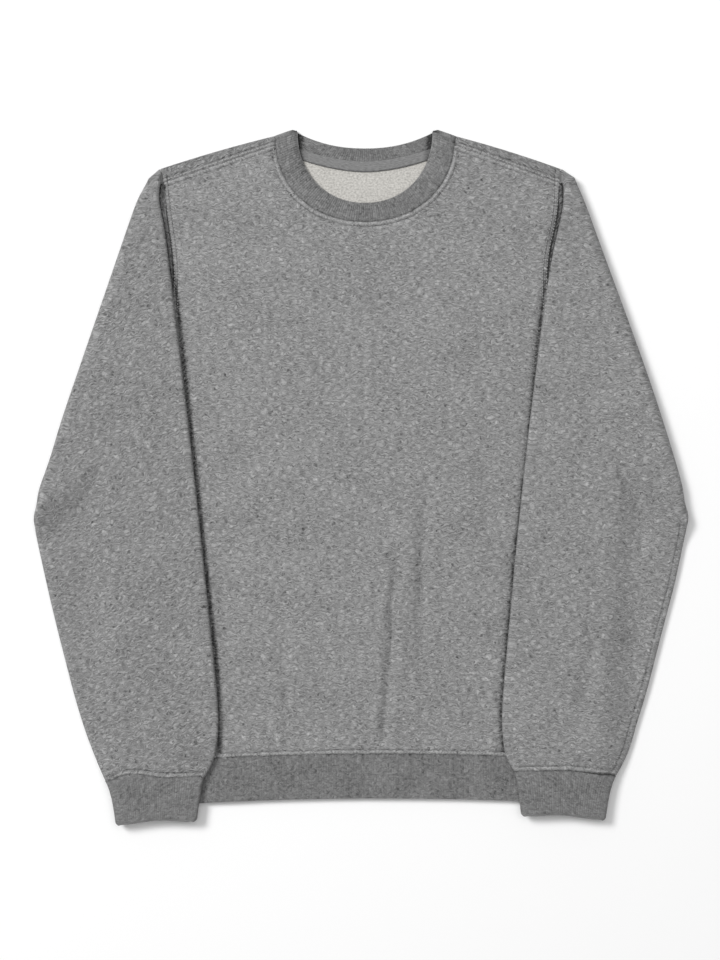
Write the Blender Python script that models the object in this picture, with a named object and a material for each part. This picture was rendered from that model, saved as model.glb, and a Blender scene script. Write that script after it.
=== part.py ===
"""Crewneck sweatshirt laid flat on its back, with both sleeves folded forward over the body.

The origin is at the bottom centre of the laid garment. +Z is up, off the surface it lies on,
+Y points to the neck and +X to the wearer's left side, which is the right side seen from above.
Sizes and places are worked out in millimetres, and each finished piece is scaled to metres.
"""

import math

import bmesh
import bpy
from mathutils import Vector

MM = 0.001

# Cloth, in millimetres.
FLEECE = 2.2
RIB = 2.4
TAPE = 1.0
AIR = 4.6
SEAM = 0.4
END_OPENING = 3.0
END_SHARPNESS = 8
UNDERARM_SPREAD = 0.15

# Points of a piece nearer than MERGE become one, and faces thinner than SLIVER are taken out.
MERGE = 0.02
SLIVER = 0.005

# Heights of the middle of each layer. The back lies on the surface and the front on the air above it.
BACK_Z = FLEECE / 2
FRONT_Z = BACK_Z + FLEECE + AIR
ROLL = (FRONT_Z - BACK_Z) / 2
MID_Z = (FRONT_Z + BACK_Z) / 2
RIB_LIFT = (RIB - FLEECE) / 2
TAPE_Z = 3.2

# Body: half widths and heights of the lines where its layers start to turn over.
HEM_HALF = 231.5
HEM_Y = -291.7
HEM_SAG = 9.0
BAND_HEIGHT = 48.5
SHOULDER = (210.5, 320.0)
UNDERARM = (248.4, 45.9)
ARMHOLE_BEND_TOP = (190.0, 235.0)
ARMHOLE_BEND_LOW = (190.0, 110.0)
SHOULDER_SEAM_AT = 0.04
SHOULDER_SEAM_NECK = 5.5

# Neck. Its centre stands a little off the middle of the body.
NECK_X = 4.75
NECK_Y = 355.0
NECK_HALF = 94.7
FRONT_NECK_DROP = 86.6
BACK_NECK_DROP = 23.5
COLLAR_HALF = 71.5
COLLAR_Y = 363.0
COLLAR_FRONT_DROP = 74.8
COLLAR_BACK_DROP = 16.6
COLLAR_BACK_LIFT = 2.5
TAPE_WIDTH = 10.0
TAPE_OVERLAP = 1.2
ROUNDNESS = 2.1
BACK_NECK_CURVE = 1.8
COLLAR_BACK_CURVE = 2.2

# Sleeve fold: the line from the shoulder to the elbow over which the sleeve turns forward.
FOLD_START = (216.1, 317.7)
FOLD_LEAN = math.radians(18.98)
FOLD_Z = 10.0
FOLD_LENGTH = math.pi * 5.5
ELBOW = 359.0
CAP = 7.0
INNER_START = -2.0
INNER_SLOPE = 0.476
BOW_LENGTH = 520.0
SETTLE = 1.4
SETTLE_WIDTH = 60.0
SINK = 11.0
SINK_START = 16.0
SINK_WIDTH = 38.0

# Sections of the folded sleeve below the elbow. Along is measured down the fold line from the
# shoulder, and across from the fold line towards the body; a negative value is still on the fold.
SECTION_COLUMNS = ("inner_along", "inner_across", "outer_along", "outer_across")
FOREARM_SECTIONS = (
    (376.0, 177.0, 372.0, -9.0),
    (395.0, 186.0, 386.5, 0.0),
    (425.0, 200.3, 421.0, 22.0),
    (460.0, 217.0, 462.0, 48.0),
    (495.0, 233.6, 505.0, 75.0),
    (522.3, 245.2, 545.0, 101.0),
    (542.6, 251.0, 577.0, 125.0),
    (563.9, 254.3, 602.0, 145.5),
    (583.1, 251.2, 619.4, 161.6),
)
CUFF_END = (630.6, 259.3, 659.4, 188.0)

# What differs between the two sleeves: how long it lies, and how far its inner edge bows in.
# The shortening grows towards the cuff.
SHORTENING_CURVE = 3
SIDE_COLUMNS = ("name", "side", "length_share", "inner_bow")
SIDES = (
    ("left", -1, 1.0, 2.6),
    ("right", 1, 0.99, 6.2),
)

# Folds in the front: soft ridges, each from its upper to its lower end. A ridge rises over the
# first part of its length and fades over the last part, each given as a share of one.
RIDGE_RISE = 0.33
RIDGE_FADE = 0.17
RIDGE_COLUMNS = ("top_x", "top_y", "low_x", "low_y", "width", "height")
RIDGES = (
    (50.0, 20.0, 41.0, -265.0, 17.0, 1.6),
    (24.0, -40.0, 6.0, -280.0, 16.0, 1.3),
    (-78.0, -95.0, -57.0, -275.0, 18.0, 1.2),
)

# How finely each stretch is divided.
NECK_STEPS = 12
SHOULDER_STEPS = 5
ARMHOLE_STEPS = 6
FRONT_SIDE_STEPS = 8
BACK_SIDE_STEPS = 4
ROLL_STEPS = 4
UNDER_STEPS = 3
FOLD_STEPS = 4
OVER_STEPS = 9
COLLAR_STEPS = 2
SIDE_TURN_STOPS = (0.0, 0.5, 0.9, 1.0)

COLOURS = {
    "fleece": (0.27, 0.27, 0.27, 1.0),
    "rib": (0.19, 0.19, 0.19, 1.0),
    "tape": (0.22, 0.22, 0.22, 1.0),
}


def mix(start, end, share):
    """Point at a share of the way from start to end."""
    return tuple(a + (b - a) * share for a, b in zip(start, end))


def shares(steps):
    """Evenly spaced values from 0 to 1."""
    return [k / steps for k in range(steps + 1)]


def ease(value):
    """Smooth rise from 0 to 1."""
    value = min(max(value, 0.0), 1.0)
    return value * value * (3 - 2 * value)


def unit(x, y):
    """Direction of length one."""
    length = math.hypot(x, y)
    return x / length, y / length


def armhole(side, share, away):
    """Point beside the armhole seam, from the shoulder fold to the underarm.

    Away is 1 on the sleeve and -1 on the body. The cloth turns over at both ends of the seam,
    so the gap between the two pieces opens a little there.
    """
    clear = away * SEAM / 2 * (1 + END_OPENING * abs(2 * share - 1) ** END_SHARPNESS)
    corners = (SHOULDER, ARMHOLE_BEND_TOP, ARMHOLE_BEND_LOW, UNDERARM)
    rest = 1 - share
    weights = (rest ** 3, 3 * rest ** 2 * share, 3 * rest * share ** 2, share ** 3)
    x = sum(weight * corner[0] for weight, corner in zip(weights, corners))
    y = sum(weight * corner[1] for weight, corner in zip(weights, corners))
    return side * (x + clear), y


def armhole_shares():
    """Shares of the armhole at which both the body and the sleeve have a point."""
    return [SHOULDER_SEAM_AT + (1 - SHOULDER_SEAM_AT) * share for share in shares(ARMHOLE_STEPS)]


def underarm_turn(side, away):
    """Direction in which the cloth turns over at the underarm: the sleeve's a little further out."""
    x, y = unit(UNDERARM[0] - ARMHOLE_BEND_LOW[0], UNDERARM[1] - ARMHOLE_BEND_LOW[1])
    x, y = unit(x + away * UNDERARM_SPREAD, y)
    return side * x, y


def neck_corner(side):
    """Point where the shoulder fold meets the neck seam."""
    return NECK_X + side * NECK_HALF, NECK_Y


def shoulder_turn(side):
    """Direction in which the cloth turns over along the shoulder."""
    neck = neck_corner(side)
    x, y = unit(neck[1] - SHOULDER[1], SHOULDER[0] - side * neck[0])
    return side * x, y


def front_neck(share, half, top, drop):
    """Point on a front neck line, from the left shoulder to the right one."""
    turn = math.pi * share
    across = math.copysign(abs(math.cos(turn)) ** (2 / ROUNDNESS), -math.cos(turn))
    return NECK_X + half * across, top - drop * math.sin(turn) ** (2 / ROUNDNESS)


def back_neck(share, half, top, drop, curve):
    """Point on a back neck line, from the left shoulder to the right one."""
    across = 2 * share - 1
    return NECK_X + half * across, top - drop * (1 - abs(across) ** curve)


def hem_line(x):
    """Height in Y of the waistband seam at a place across the body."""
    return HEM_Y - HEM_SAG * (x / HEM_HALF) ** 2


def front_height(x, y):
    """Height of the middle of the front panel, with its soft ridges."""
    height = FRONT_Z
    for row in RIDGES:
        ridge = dict(zip(RIDGE_COLUMNS, row))
        share = (ridge["top_y"] - y) / (ridge["top_y"] - ridge["low_y"])
        crest = ridge["top_x"] + (ridge["low_x"] - ridge["top_x"]) * share
        along = ease(share / RIDGE_RISE) * ease((1.0 - share) / RIDGE_FADE)
        height += ridge["height"] * along * math.exp(-((x - crest) / ridge["width"]) ** 2)
    return height


def filled_patch(bottom, top, left, right):
    """Rows of plan points that fill four edges, each a list of points."""
    rows = []
    for j, v in enumerate(shares(len(left) - 1)):
        row = []
        for i, u in enumerate(shares(len(bottom) - 1)):
            across = mix(left[j], right[j], u)
            up = mix(bottom[i], top[i], v)
            corner = mix(mix(bottom[0], bottom[-1], u), mix(top[0], top[-1], u), v)
            row.append(tuple(a + b - c for a, b, c in zip(across, up, corner)))
        rows.append(row)
    return rows


def add_patch(bm, rows):
    """Add a patch of faces between rows of points."""
    verts = [[bm.verts.new(point) for point in row] for row in rows]
    for lower, upper in zip(verts, verts[1:]):
        for k in range(len(lower) - 1):
            bm.faces.new((lower[k], lower[k + 1], upper[k + 1], upper[k]))


def make_cloth(name, bm, thickness, colour):
    """Sew a piece's patches into one sheet, scale it to metres and give it its thickness."""
    bmesh.ops.remove_doubles(bm, verts=bm.verts, dist=MERGE)
    bmesh.ops.dissolve_degenerate(bm, edges=bm.edges, dist=SLIVER)
    bmesh.ops.recalc_face_normals(bm, faces=bm.faces)
    bmesh.ops.scale(bm, verts=bm.verts, vec=Vector((MM, MM, MM)))
    mesh = bpy.data.meshes.new(name)
    bm.to_mesh(mesh)
    bm.free()
    piece = bpy.data.objects.new(name, mesh)
    bpy.context.collection.objects.link(piece)
    wall = piece.modifiers.new("cloth thickness", "SOLIDIFY")
    wall.thickness = thickness * MM
    wall.offset = 0.0
    wall.use_quality_normals = True
    material = bpy.data.materials.new(name)
    material.use_nodes = True
    shader = material.node_tree.nodes["Principled BSDF"]
    shader.inputs["Base Color"].default_value = COLOURS[colour]
    shader.inputs["Roughness"].default_value = 0.95
    shader.inputs["Metallic"].default_value = 0.0
    mesh.materials.append(material)
    return piece


def turn_over(point, direction, angle, middle=MID_Z, radius=ROLL):
    """Point of a rolled edge: 0 degrees is the upper layer and 180 degrees the lower one."""
    reach = radius * math.sin(angle)
    return (
        point[0] + direction[0] * reach,
        point[1] + direction[1] * reach,
        middle + radius * math.cos(angle),
    )


def body_edges(side_steps, armhole_stops):
    """Left and right edges of a body panel, from the hem up."""
    edges = []
    for side in (-1, 1):
        hem = (side * HEM_HALF, hem_line(HEM_HALF) + SEAM / 2)
        underarm = armhole(side, 1.0, -1)
        edge = [mix(hem, underarm, share) for share in shares(side_steps)]
        for share in reversed(armhole_stops[:-1]):
            edge.append(armhole(side, share, -1))
        edges.append(edge)
    return edges


def hem_points(clear):
    """Points along the waistband seam, from the left to the right."""
    count = 2 * SHOULDER_STEPS + NECK_STEPS
    points = []
    for share in shares(count):
        x = HEM_HALF * (2 * share - 1)
        points.append((x, hem_line(x) + clear))
    return points


def side_rolls(bm, edges, side_steps, upper):
    """Turn the side edges of a body panel over, half of the way to the other panel."""
    last_angle = math.acos(SEAM / 2 / ROLL)
    for side, edge in zip((-1, 1), edges):
        rows = []
        for j, point in enumerate(edge[:side_steps + 1]):
            direction = underarm_turn(side, -1) if j == side_steps else (side, 0.0)
            row = []
            for share in SIDE_TURN_STOPS:
                angle = share * last_angle if upper else math.pi - share * last_angle
                row.append(turn_over(point, direction, angle))
            rows.append(row)
        add_patch(bm, rows)


def shoulder_seam(side, clear=0.0):
    """Shoulder seam on the front, from the armhole to the neck."""
    outer = armhole(side, SHOULDER_SEAM_AT, -1)
    neck = neck_corner(side)
    inner = (neck[0] + side * SEAM / 2, neck[1] - SHOULDER_SEAM_NECK)
    return [(x, y - clear) for x, y in (mix(outer, inner, s) for s in shares(SHOULDER_STEPS))]


def make_front_panel():
    """Front: hem to shoulder seams, with the neck line and both armholes cut out."""
    stops = armhole_shares()
    left, right = body_edges(FRONT_SIDE_STEPS, stops)
    neck_half = NECK_HALF + SEAM / 2
    neck_drop = FRONT_NECK_DROP + SEAM / 2
    neck = [front_neck(s, neck_half, NECK_Y, neck_drop) for s in shares(NECK_STEPS)]
    top = shoulder_seam(-1, SEAM) + neck[1:-1] + shoulder_seam(1, SEAM)[::-1]
    left[-1] = top[0]
    right[-1] = top[-1]
    bm = bmesh.new()
    rows = filled_patch(hem_points(SEAM / 2), top, left, right)
    add_patch(bm, [[(x, y, front_height(x, y)) for x, y in row] for row in rows])
    side_rolls(bm, (left, right), FRONT_SIDE_STEPS, upper=True)
    return make_cloth("front_panel", bm, FLEECE, "fleece")


def make_back_panel():
    """Back: hem to shoulder folds, then over the folds to the shoulder seams on the front."""
    stops = [0.0] + armhole_shares()
    left, right = body_edges(BACK_SIDE_STEPS, stops)
    neck_half = NECK_HALF + SEAM / 2
    neck_drop = BACK_NECK_DROP + SEAM / 2
    neck = [
        back_neck(s, neck_half, NECK_Y, neck_drop, BACK_NECK_CURVE) for s in shares(NECK_STEPS)
    ]
    folds = {
        -1: [mix(left[-1], neck[0], s) for s in shares(SHOULDER_STEPS)],
        1: [mix(right[-1], neck[-1], s) for s in shares(SHOULDER_STEPS)],
    }
    top = folds[-1] + neck[1:-1] + folds[1][::-1]
    bm = bmesh.new()
    rows = filled_patch(hem_points(SEAM / 2), top, left, right)
    add_patch(bm, [[(x, y, BACK_Z) for x, y in row] for row in rows])
    side_rolls(bm, (left, right), BACK_SIDE_STEPS, upper=False)
    for side in (-1, 1):
        rows = []
        for share in shares(ROLL_STEPS):
            angle = math.pi * (1 - share)
            rows.append([turn_over(point, shoulder_turn(side), angle) for point in folds[side]])
        rows.append([(x, y, FRONT_Z) for x, y in shoulder_seam(side)])
        add_patch(bm, rows)
    return make_cloth("back_panel", bm, FLEECE, "fleece")


def make_waistband():
    """Hem rib: a flat tube as wide as the body's lower edge."""
    rows = []
    for share in shares(2):
        shift = -SEAM / 2 - (BAND_HEIGHT - SEAM / 2) * share
        line = hem_points(shift)
        front = [(x, y, FRONT_Z + RIB_LIFT) for x, y in line]
        back = [(x, y, BACK_Z + RIB_LIFT) for x, y in line]
        middle = MID_Z + RIB_LIFT
        turns = [math.pi * s for s in shares(ROLL_STEPS)][1:-1]
        right = [turn_over(line[-1], (1, 0), angle, middle) for angle in turns]
        left = [turn_over(line[0], (-1, 0), math.pi - angle, middle) for angle in turns]
        rows.append(front + right + back[::-1] + left + front[:1])
    bm = bmesh.new()
    add_patch(bm, rows)
    return make_cloth("waistband", bm, RIB, "rib")


def collar_station(outer, inner, outer_z, inner_z):
    """Points across the collar rib, from its seam to its free edge."""
    start = (*outer, outer_z)
    end = (*inner, inner_z)
    return [mix(start, end, share) for share in shares(COLLAR_STEPS)]


def make_neckband():
    """Collar rib: a ring that lies forward on the front and stands up along the back neck."""
    low = BACK_Z + RIB_LIFT
    high = FRONT_Z + RIB_LIFT
    half = NECK_HALF - SEAM / 2
    front = []
    back = []
    for share in shares(NECK_STEPS):
        outer = front_neck(share, half, NECK_Y, FRONT_NECK_DROP - SEAM / 2)
        inner = front_neck(share, COLLAR_HALF, COLLAR_Y, COLLAR_FRONT_DROP)
        front.append(collar_station(outer, inner, high, high))
        outer = back_neck(share, half, NECK_Y, BACK_NECK_DROP - SEAM / 2, BACK_NECK_CURVE)
        inner = back_neck(share, COLLAR_HALF, COLLAR_Y, COLLAR_BACK_DROP, COLLAR_BACK_CURVE)
        lift = COLLAR_BACK_LIFT * (1 - (2 * share - 1) ** 2)
        back.append(collar_station(outer, inner, low, low + lift))
    turns = [math.pi * share for share in shares(ROLL_STEPS)][1:-1]
    middle = (low + high) / 2
    folds = {}
    for side, station in ((-1, front[0]), (1, front[-1])):
        folds[side] = [
            [turn_over(point, shoulder_turn(side), angle, middle) for point in station]
            for angle in turns
        ]
    ring = front + folds[1] + back[::-1] + folds[-1][::-1] + front[:1]
    bm = bmesh.new()
    add_patch(bm, ring)
    return make_cloth("neckband", bm, RIB, "rib")


def make_neck_tape():
    """Tape that covers the back neck seam on the inside."""
    rows = []
    for shift in (TAPE_OVERLAP, TAPE_OVERLAP / 2 - TAPE_WIDTH / 2, -TAPE_WIDTH):
        row = []
        for share in shares(NECK_STEPS)[1:-1]:
            x, y = back_neck(share, NECK_HALF, NECK_Y, BACK_NECK_DROP, BACK_NECK_CURVE)
            row.append((x, y + shift, TAPE_Z))
        rows.append(row)
    bm = bmesh.new()
    add_patch(bm, rows)
    return make_cloth("neck_tape", bm, TAPE, "tape")


def fold_frame(side):
    """Start of the sleeve's fold line, its direction down the line and its direction outwards."""
    down = (side * math.sin(FOLD_LEAN), -math.cos(FOLD_LEAN))
    out = (side * math.cos(FOLD_LEAN), math.sin(FOLD_LEAN))
    return (side * FOLD_START[0], FOLD_START[1]), down, out


def unfolded(side, point):
    """Distance of a plan point down the fold line, and outwards from it."""
    start, down, out = fold_frame(side)
    x = point[0] - start[0]
    y = point[1] - start[1]
    return x * down[0] + y * down[1], x * out[0] + y * out[1]


def sinking(x, y, across):
    """How far the folded-over sleeve sinks, onto the body or past its side to the surface."""
    settled = SETTLE * ease(across / SETTLE_WIDTH)
    share = min(max((UNDERARM[1] - y) / (UNDERARM[1] - HEM_Y), 0.0), 1.0)
    past_side = abs(x) - SINK_START - (UNDERARM[0] + (HEM_HALF - UNDERARM[0]) * share)
    start, down, _ = fold_frame(1)
    elbow = (start[0] + down[0] * ELBOW, start[1] + down[1] * ELBOW)
    along = unit(elbow[0] - UNDERARM[0], elbow[1] - UNDERARM[1])
    below_arm = (abs(x) - UNDERARM[0]) * along[1] - (y - UNDERARM[1]) * along[0]
    return settled + (SINK - settled) * ease(min(past_side, below_arm) / SINK_WIDTH)


def folded(side, along, outward, height):
    """Place of a sleeve point once the sleeve is folded forward over its fold line."""
    if outward <= 0:
        reach, z, share = outward, height, 0.0
    elif outward < FOLD_LENGTH:
        angle = math.pi * outward / FOLD_LENGTH
        reach = (FOLD_Z - height) * math.sin(angle)
        z = FOLD_Z - (FOLD_Z - height) * math.cos(angle)
        share = (1 - math.cos(angle)) / 2
    else:
        reach, z, share = FOLD_LENGTH - outward, 2 * FOLD_Z - height, 1.0
    start, down, out = fold_frame(side)
    x = start[0] + down[0] * along + out[0] * reach
    y = start[1] + down[1] * along + out[1] * reach
    return x, y, z - share * sinking(x, y, max(-reach, 0.0))


def bowed(along, bow):
    """How far the sleeve's inner edge bows towards the body at a place down the fold line."""
    return bow * math.sin(math.pi * min(along / BOW_LENGTH, 1.0))


def inner_edge(along, bow):
    """Distance of the sleeve's inner edge from the fold line, above the elbow."""
    return INNER_START + INNER_SLOPE * along + bowed(along, bow)


def row_stops(end, top, fold_along=None):
    """Points across the unfolded sleeve, from its armhole or underarm end to its top fold."""
    start = end if fold_along is None else (fold_along, 0.0)
    stops = [end]
    if fold_along is not None:
        stops = [mix(end, start, share) for share in shares(UNDER_STEPS)]
    outs = [FOLD_LENGTH * share for share in shares(FOLD_STEPS)][1:]
    first = max(start[1], FOLD_LENGTH)
    outs += [first + (top[1] - first) * share for share in shares(OVER_STEPS)][1:]
    for outward in outs:
        outward = max(outward, start[1])
        share = (outward - start[1]) / (top[1] - start[1])
        stops.append(mix(start, top, share))
    return stops


def sleeve_sections(side, length_share, bow):
    """Rows of unfolded points: those above the elbow end on the armhole, the rest below the arm."""
    upper = []
    for k, share in enumerate(armhole_shares()):
        along = CAP + (ELBOW - CAP) * k / ARMHOLE_STEPS
        end = unfolded(side, armhole(side, share, 1))
        top = (along, FOLD_LENGTH + inner_edge(along, bow))
        upper.append(row_stops(end, top, along))
    lower = []
    for k, values in enumerate(FOREARM_SECTIONS):
        row = dict(zip(SECTION_COLUMNS, values))
        reached = ((k + 1) / len(FOREARM_SECTIONS)) ** SHORTENING_CURVE
        shrink = 1 + (length_share - 1) * reached
        end = (row["outer_along"] * shrink, FOLD_LENGTH + row["outer_across"])
        across = row["inner_across"] + bowed(row["inner_along"], bow)
        top = (row["inner_along"] * shrink, FOLD_LENGTH + across)
        lower.append(row_stops(end, top))
    return upper, lower


def edge_directions(points, outward_sign):
    """Direction square to a line of plan points, at each of them."""
    directions = []
    for k in range(len(points)):
        before = points[max(k - 1, 0)]
        after = points[min(k + 1, len(points) - 1)]
        along, outward = unit(after[0] - before[0], after[1] - before[1])
        directions.append((-outward * outward_sign, along * outward_sign))
    return directions


def edge_turn(side, point, direction, steps, high=FRONT_Z, low=BACK_Z):
    """Points round a turned edge of the sleeve, between its front and back layers."""
    radius = (high - low) / 2
    points = []
    for share in steps:
        angle = math.pi * share
        along = point[0] + direction[0] * radius * math.sin(angle)
        outward = point[1] + direction[1] * radius * math.sin(angle)
        points.append(folded(side, along, outward, (high + low) / 2 + radius * math.cos(angle)))
    return points


def cap_row(side):
    """Top of the armhole seam: the notch on the front, then over the shoulder to the back."""
    notch = (*armhole(side, SHOULDER_SEAM_AT, 1), FRONT_Z)
    top = armhole(side, 0.0, 1)
    still = UNDER_STEPS + FOLD_STEPS + OVER_STEPS + ROLL_STEPS
    row = [notch] * still
    row += [mix(notch, (*top, FRONT_Z), share) for share in shares(OVER_STEPS)]
    turns = [math.pi * share for share in shares(FOLD_STEPS)][1:]
    row += [turn_over(top, shoulder_turn(side), angle) for angle in turns]
    below = (notch[0], notch[1], BACK_Z)
    row += [mix((*top, BACK_Z), below, share) for share in shares(UNDER_STEPS)][1:]
    return row


def make_sleeve(name, side, length_share, bow):
    """Sleeve: a flat tube, folded forward along the line from the shoulder to the elbow."""
    upper, lower = sleeve_sections(side, length_share, bow)
    sections = upper + lower
    tops = [row[-1] for row in sections]
    last = lower[-1]
    across = unit(last[-1][0] - last[0][0], last[-1][1] - last[0][1])
    top_directions = edge_directions(tops, 1)[:-1] + [across]
    turns = shares(ROLL_STEPS)
    rows = []
    for row, direction in zip(sections, top_directions):
        front = [folded(side, along, out, FRONT_Z) for along, out in row]
        turn = edge_turn(side, row[-1], direction, turns[1:-1])
        back = [folded(side, along, out, BACK_Z) for along, out in reversed(row)]
        rows.append(front + turn + back)
    cap = cap_row(side)
    between = [mix(a, b, 0.5) for a, b in zip(cap, rows[0])]
    elbow = rows[len(upper) - 1][UNDER_STEPS:-UNDER_STEPS]
    bm = bmesh.new()
    add_patch(bm, [cap, between] + rows[:len(upper)])
    add_patch(bm, [elbow] + rows[len(upper):])
    edge = upper[-1][:UNDER_STEPS + 1] + [row[0] for row in lower]
    directions = edge_directions(edge, -1)
    x, y = underarm_turn(side, 1)
    start, down, out = fold_frame(side)
    directions[0] = (x * down[0] + y * down[1], x * out[0] + y * out[1])
    directions[-1] = (-across[0], -across[1])
    strip = [edge_turn(side, p, d, turns) for p, d in zip(edge, directions)]
    add_patch(bm, strip)
    return make_cloth(name, bm, FLEECE, "fleece")


def make_cuff(name, side, length_share, bow):
    """Cuff rib: a flat tube from the sleeve's last section, narrowing to the hand."""
    last = FOREARM_SECTIONS[-1]
    rows = []
    for share in shares(2):
        shift = SEAM / (CUFF_END[0] - last[0])
        values = mix(last, CUFF_END, shift + (1 - shift) * share)
        row = dict(zip(SECTION_COLUMNS, values))
        lengthen = last[0] * (length_share - 1)
        end = (row["outer_along"] + lengthen, FOLD_LENGTH + row["outer_across"])
        top = (row["inner_along"] + lengthen, FOLD_LENGTH + row["inner_across"])
        line = [mix(end, top, s) for s in shares(OVER_STEPS)]
        across = unit(top[0] - end[0], top[1] - end[1])
        high = FRONT_Z - RIB_LIFT
        low = BACK_Z - RIB_LIFT
        turns = shares(ROLL_STEPS)[1:-1]
        front = [folded(side, along, outward, high) for along, outward in line]
        back = [folded(side, along, outward, low) for along, outward in reversed(line)]
        inner = edge_turn(side, top, across, turns, high, low)
        outer = edge_turn(side, end, (-across[0], -across[1]), turns, high, low)[::-1]
        rows.append(front + inner + back + outer + front[:1])
    bm = bmesh.new()
    add_patch(bm, rows)
    return make_cloth(name, bm, RIB, "rib")


def main():
    """Clear the scene and make every piece of the sweatshirt."""
    for old in list(bpy.data.objects):
        bpy.data.objects.remove(old, do_unlink=True)
    make_back_panel()
    make_front_panel()
    make_waistband()
    make_neckband()
    make_neck_tape()
    for values in SIDES:
        row = dict(zip(SIDE_COLUMNS, values))
        shape = (row["side"], row["length_share"], row["inner_bow"])
        make_sleeve("sleeve_" + row["name"], *shape)
        make_cuff("cuff_" + row["name"], *shape)


main()
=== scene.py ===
"""Crewneck sweatshirt laid flat on its back, with both sleeves folded forward over the body.

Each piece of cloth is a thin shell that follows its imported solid, with the creases, seams, ribs and
stitches that the solid leaves out. Plan places are in millimetres, in the frame's own axes: +Z up off
the surface, +Y to the neck and +X to the right as seen from above.
"""

import logging
import math
from dataclasses import dataclass, field
from enum import Enum

import bmesh
import bpy
import numpy as np
from mathutils import Matrix, Vector, noise
from mathutils.bvhtree import BVHTree


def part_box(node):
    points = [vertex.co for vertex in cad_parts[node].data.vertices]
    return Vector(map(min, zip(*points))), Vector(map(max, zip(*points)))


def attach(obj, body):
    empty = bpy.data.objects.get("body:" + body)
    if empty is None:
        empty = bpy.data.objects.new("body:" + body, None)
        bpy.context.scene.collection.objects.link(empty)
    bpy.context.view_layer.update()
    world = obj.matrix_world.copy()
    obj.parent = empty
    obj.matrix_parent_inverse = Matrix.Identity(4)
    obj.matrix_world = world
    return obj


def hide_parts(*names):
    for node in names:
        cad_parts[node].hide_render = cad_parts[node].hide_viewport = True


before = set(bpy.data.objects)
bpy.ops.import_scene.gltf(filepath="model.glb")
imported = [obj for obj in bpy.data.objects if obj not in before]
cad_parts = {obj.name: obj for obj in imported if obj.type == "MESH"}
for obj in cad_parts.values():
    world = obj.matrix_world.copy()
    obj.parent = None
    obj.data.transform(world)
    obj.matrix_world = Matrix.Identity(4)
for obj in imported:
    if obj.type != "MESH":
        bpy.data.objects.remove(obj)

Array = np.ndarray
Piece = bpy.types.Object
Material = bpy.types.Material
Socket = bpy.types.NodeSocket
Pair = tuple[float, float]
Triple = tuple[float, float, float]

MM = 0.001
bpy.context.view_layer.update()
LOG = logging.getLogger("sweatshirt")

# Distances of the stitch rows from their seams, in millimetres
NECK_STITCH_OUT = 2.4
SHOULDER_STITCH_BELOW = 2.3
SHOULDER_STITCH_ABOVE = 1.9
ARMHOLE_STITCHES_IN = (2.0, 6.2)
HEM_STITCH_UP = 1.9


class Side(Enum):
    """Side of the garment as seen from above, with the sign of its X."""

    LEFT = -1
    RIGHT = 1


class Held(Enum):
    """How a sheet of cloth is held."""

    LAID = "laid"
    FOLDED = "folded"


class Slot(Enum):
    """Material slots of the record."""

    FLEECE = "fleece"
    RIB = "rib"
    TAPE = "tape"


# ---- Small helpers for plan curves ----


def ease(value: Array | float) -> Array:
    """Smooth rise from 0 to 1."""
    value = np.clip(value, 0.0, 1.0)
    return value * value * (3.0 - 2.0 * value)


def hump(value: Array, width: float) -> Array:
    """Bell curve, 1 at zero and fading over the width."""
    return np.exp(-((value / width) ** 2))


def unit(x: float, y: float) -> Pair:
    """Direction of length one."""
    length = math.hypot(x, y)
    return x / length, y / length


def shares(steps: int) -> Array:
    """Evenly spaced values from 0 to 1."""
    return np.linspace(0.0, 1.0, steps + 1)


def mixed(start: Array, end: Array, share: Array) -> Array:
    """Points at each share of the way from start to end.

    Args:
        start: One point, or one for each share.
        end: One point, or one for each share.
        share: Shares of the way.

    Returns:
        One row for each share.
    """
    start = np.asarray(start, float)
    end = np.asarray(end, float)
    share = np.asarray(share, float)[:, None]
    return start * (1 - share) + end * share


def graded(length: float, fine: float, coarse: float, edge: float, low: bool, high: bool) -> Array:
    """Shares of a stretch, fine at the ends that are asked for and coarse between them.

    Args:
        length: Length of the stretch.
        fine: Step at a fine end.
        coarse: Largest step.
        edge: Length that keeps the fine step.
        low: Whether the start is fine.
        high: Whether the end is fine.

    Returns:
        Rising shares from 0 to 1.
    """

    def steps(is_fine: bool) -> list[float]:
        """Distances from one end to the middle of the stretch.

        Args:
            is_fine: Whether the steps start fine.

        Returns:
            Rising distances.
        """
        places = [0.0]
        step = fine if is_fine else coarse
        while places[-1] < length / 2:
            places.append(places[-1] + step)
            if places[-1] > edge:
                step = min(step * 1.4, coarse)
        scale = length / 2 / places[-1]
        return [place * scale for place in places]

    first = steps(low)
    last = [length - place for place in steps(high)]
    return np.array(first + last[::-1][1:]) / length


def run_along(line: Array) -> Array:
    """Distance of each point of a line from its start, along the line."""
    return np.concatenate([[0.0], np.cumsum(np.linalg.norm(np.diff(line, axis=0), axis=1))])


def even_shares(line: Array, base: Array, count: int) -> Array:
    """Shares that cut a line into equal lengths, from dense points and the share of each."""
    run = run_along(line)
    return np.interp(np.linspace(0.0, run[-1], count + 1), run, base)


def ripple(points: Array, size: Pair, seed: float) -> Array:
    """Smooth uneven height over a plan, between about -1 and 1.

    Args:
        points: Plan points, any number of rows.
        size: Length of the pattern in X and in Y.
        seed: Which pattern is used.

    Returns:
        One height for each point.
    """
    flat = points.reshape(-1, points.shape[-1])
    heights = [noise.noise(Vector((p[0] / size[0], p[1] / size[1], seed))) for p in flat]
    return np.array(heights).reshape(points.shape[:-1]) * 1.6


@dataclass(frozen=True)
class Unevenness:
    """Soft unevenness: its height, its length in X and Y in millimetres, and which pattern it is."""

    amount: float
    size: Pair
    seed: float

    def over(self, points: Array, shift: float = 0.0) -> Array:
        """Heights at plan points, where another shift gives another pattern."""
        return self.amount * ripple(points, self.size, self.seed + shift)


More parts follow.
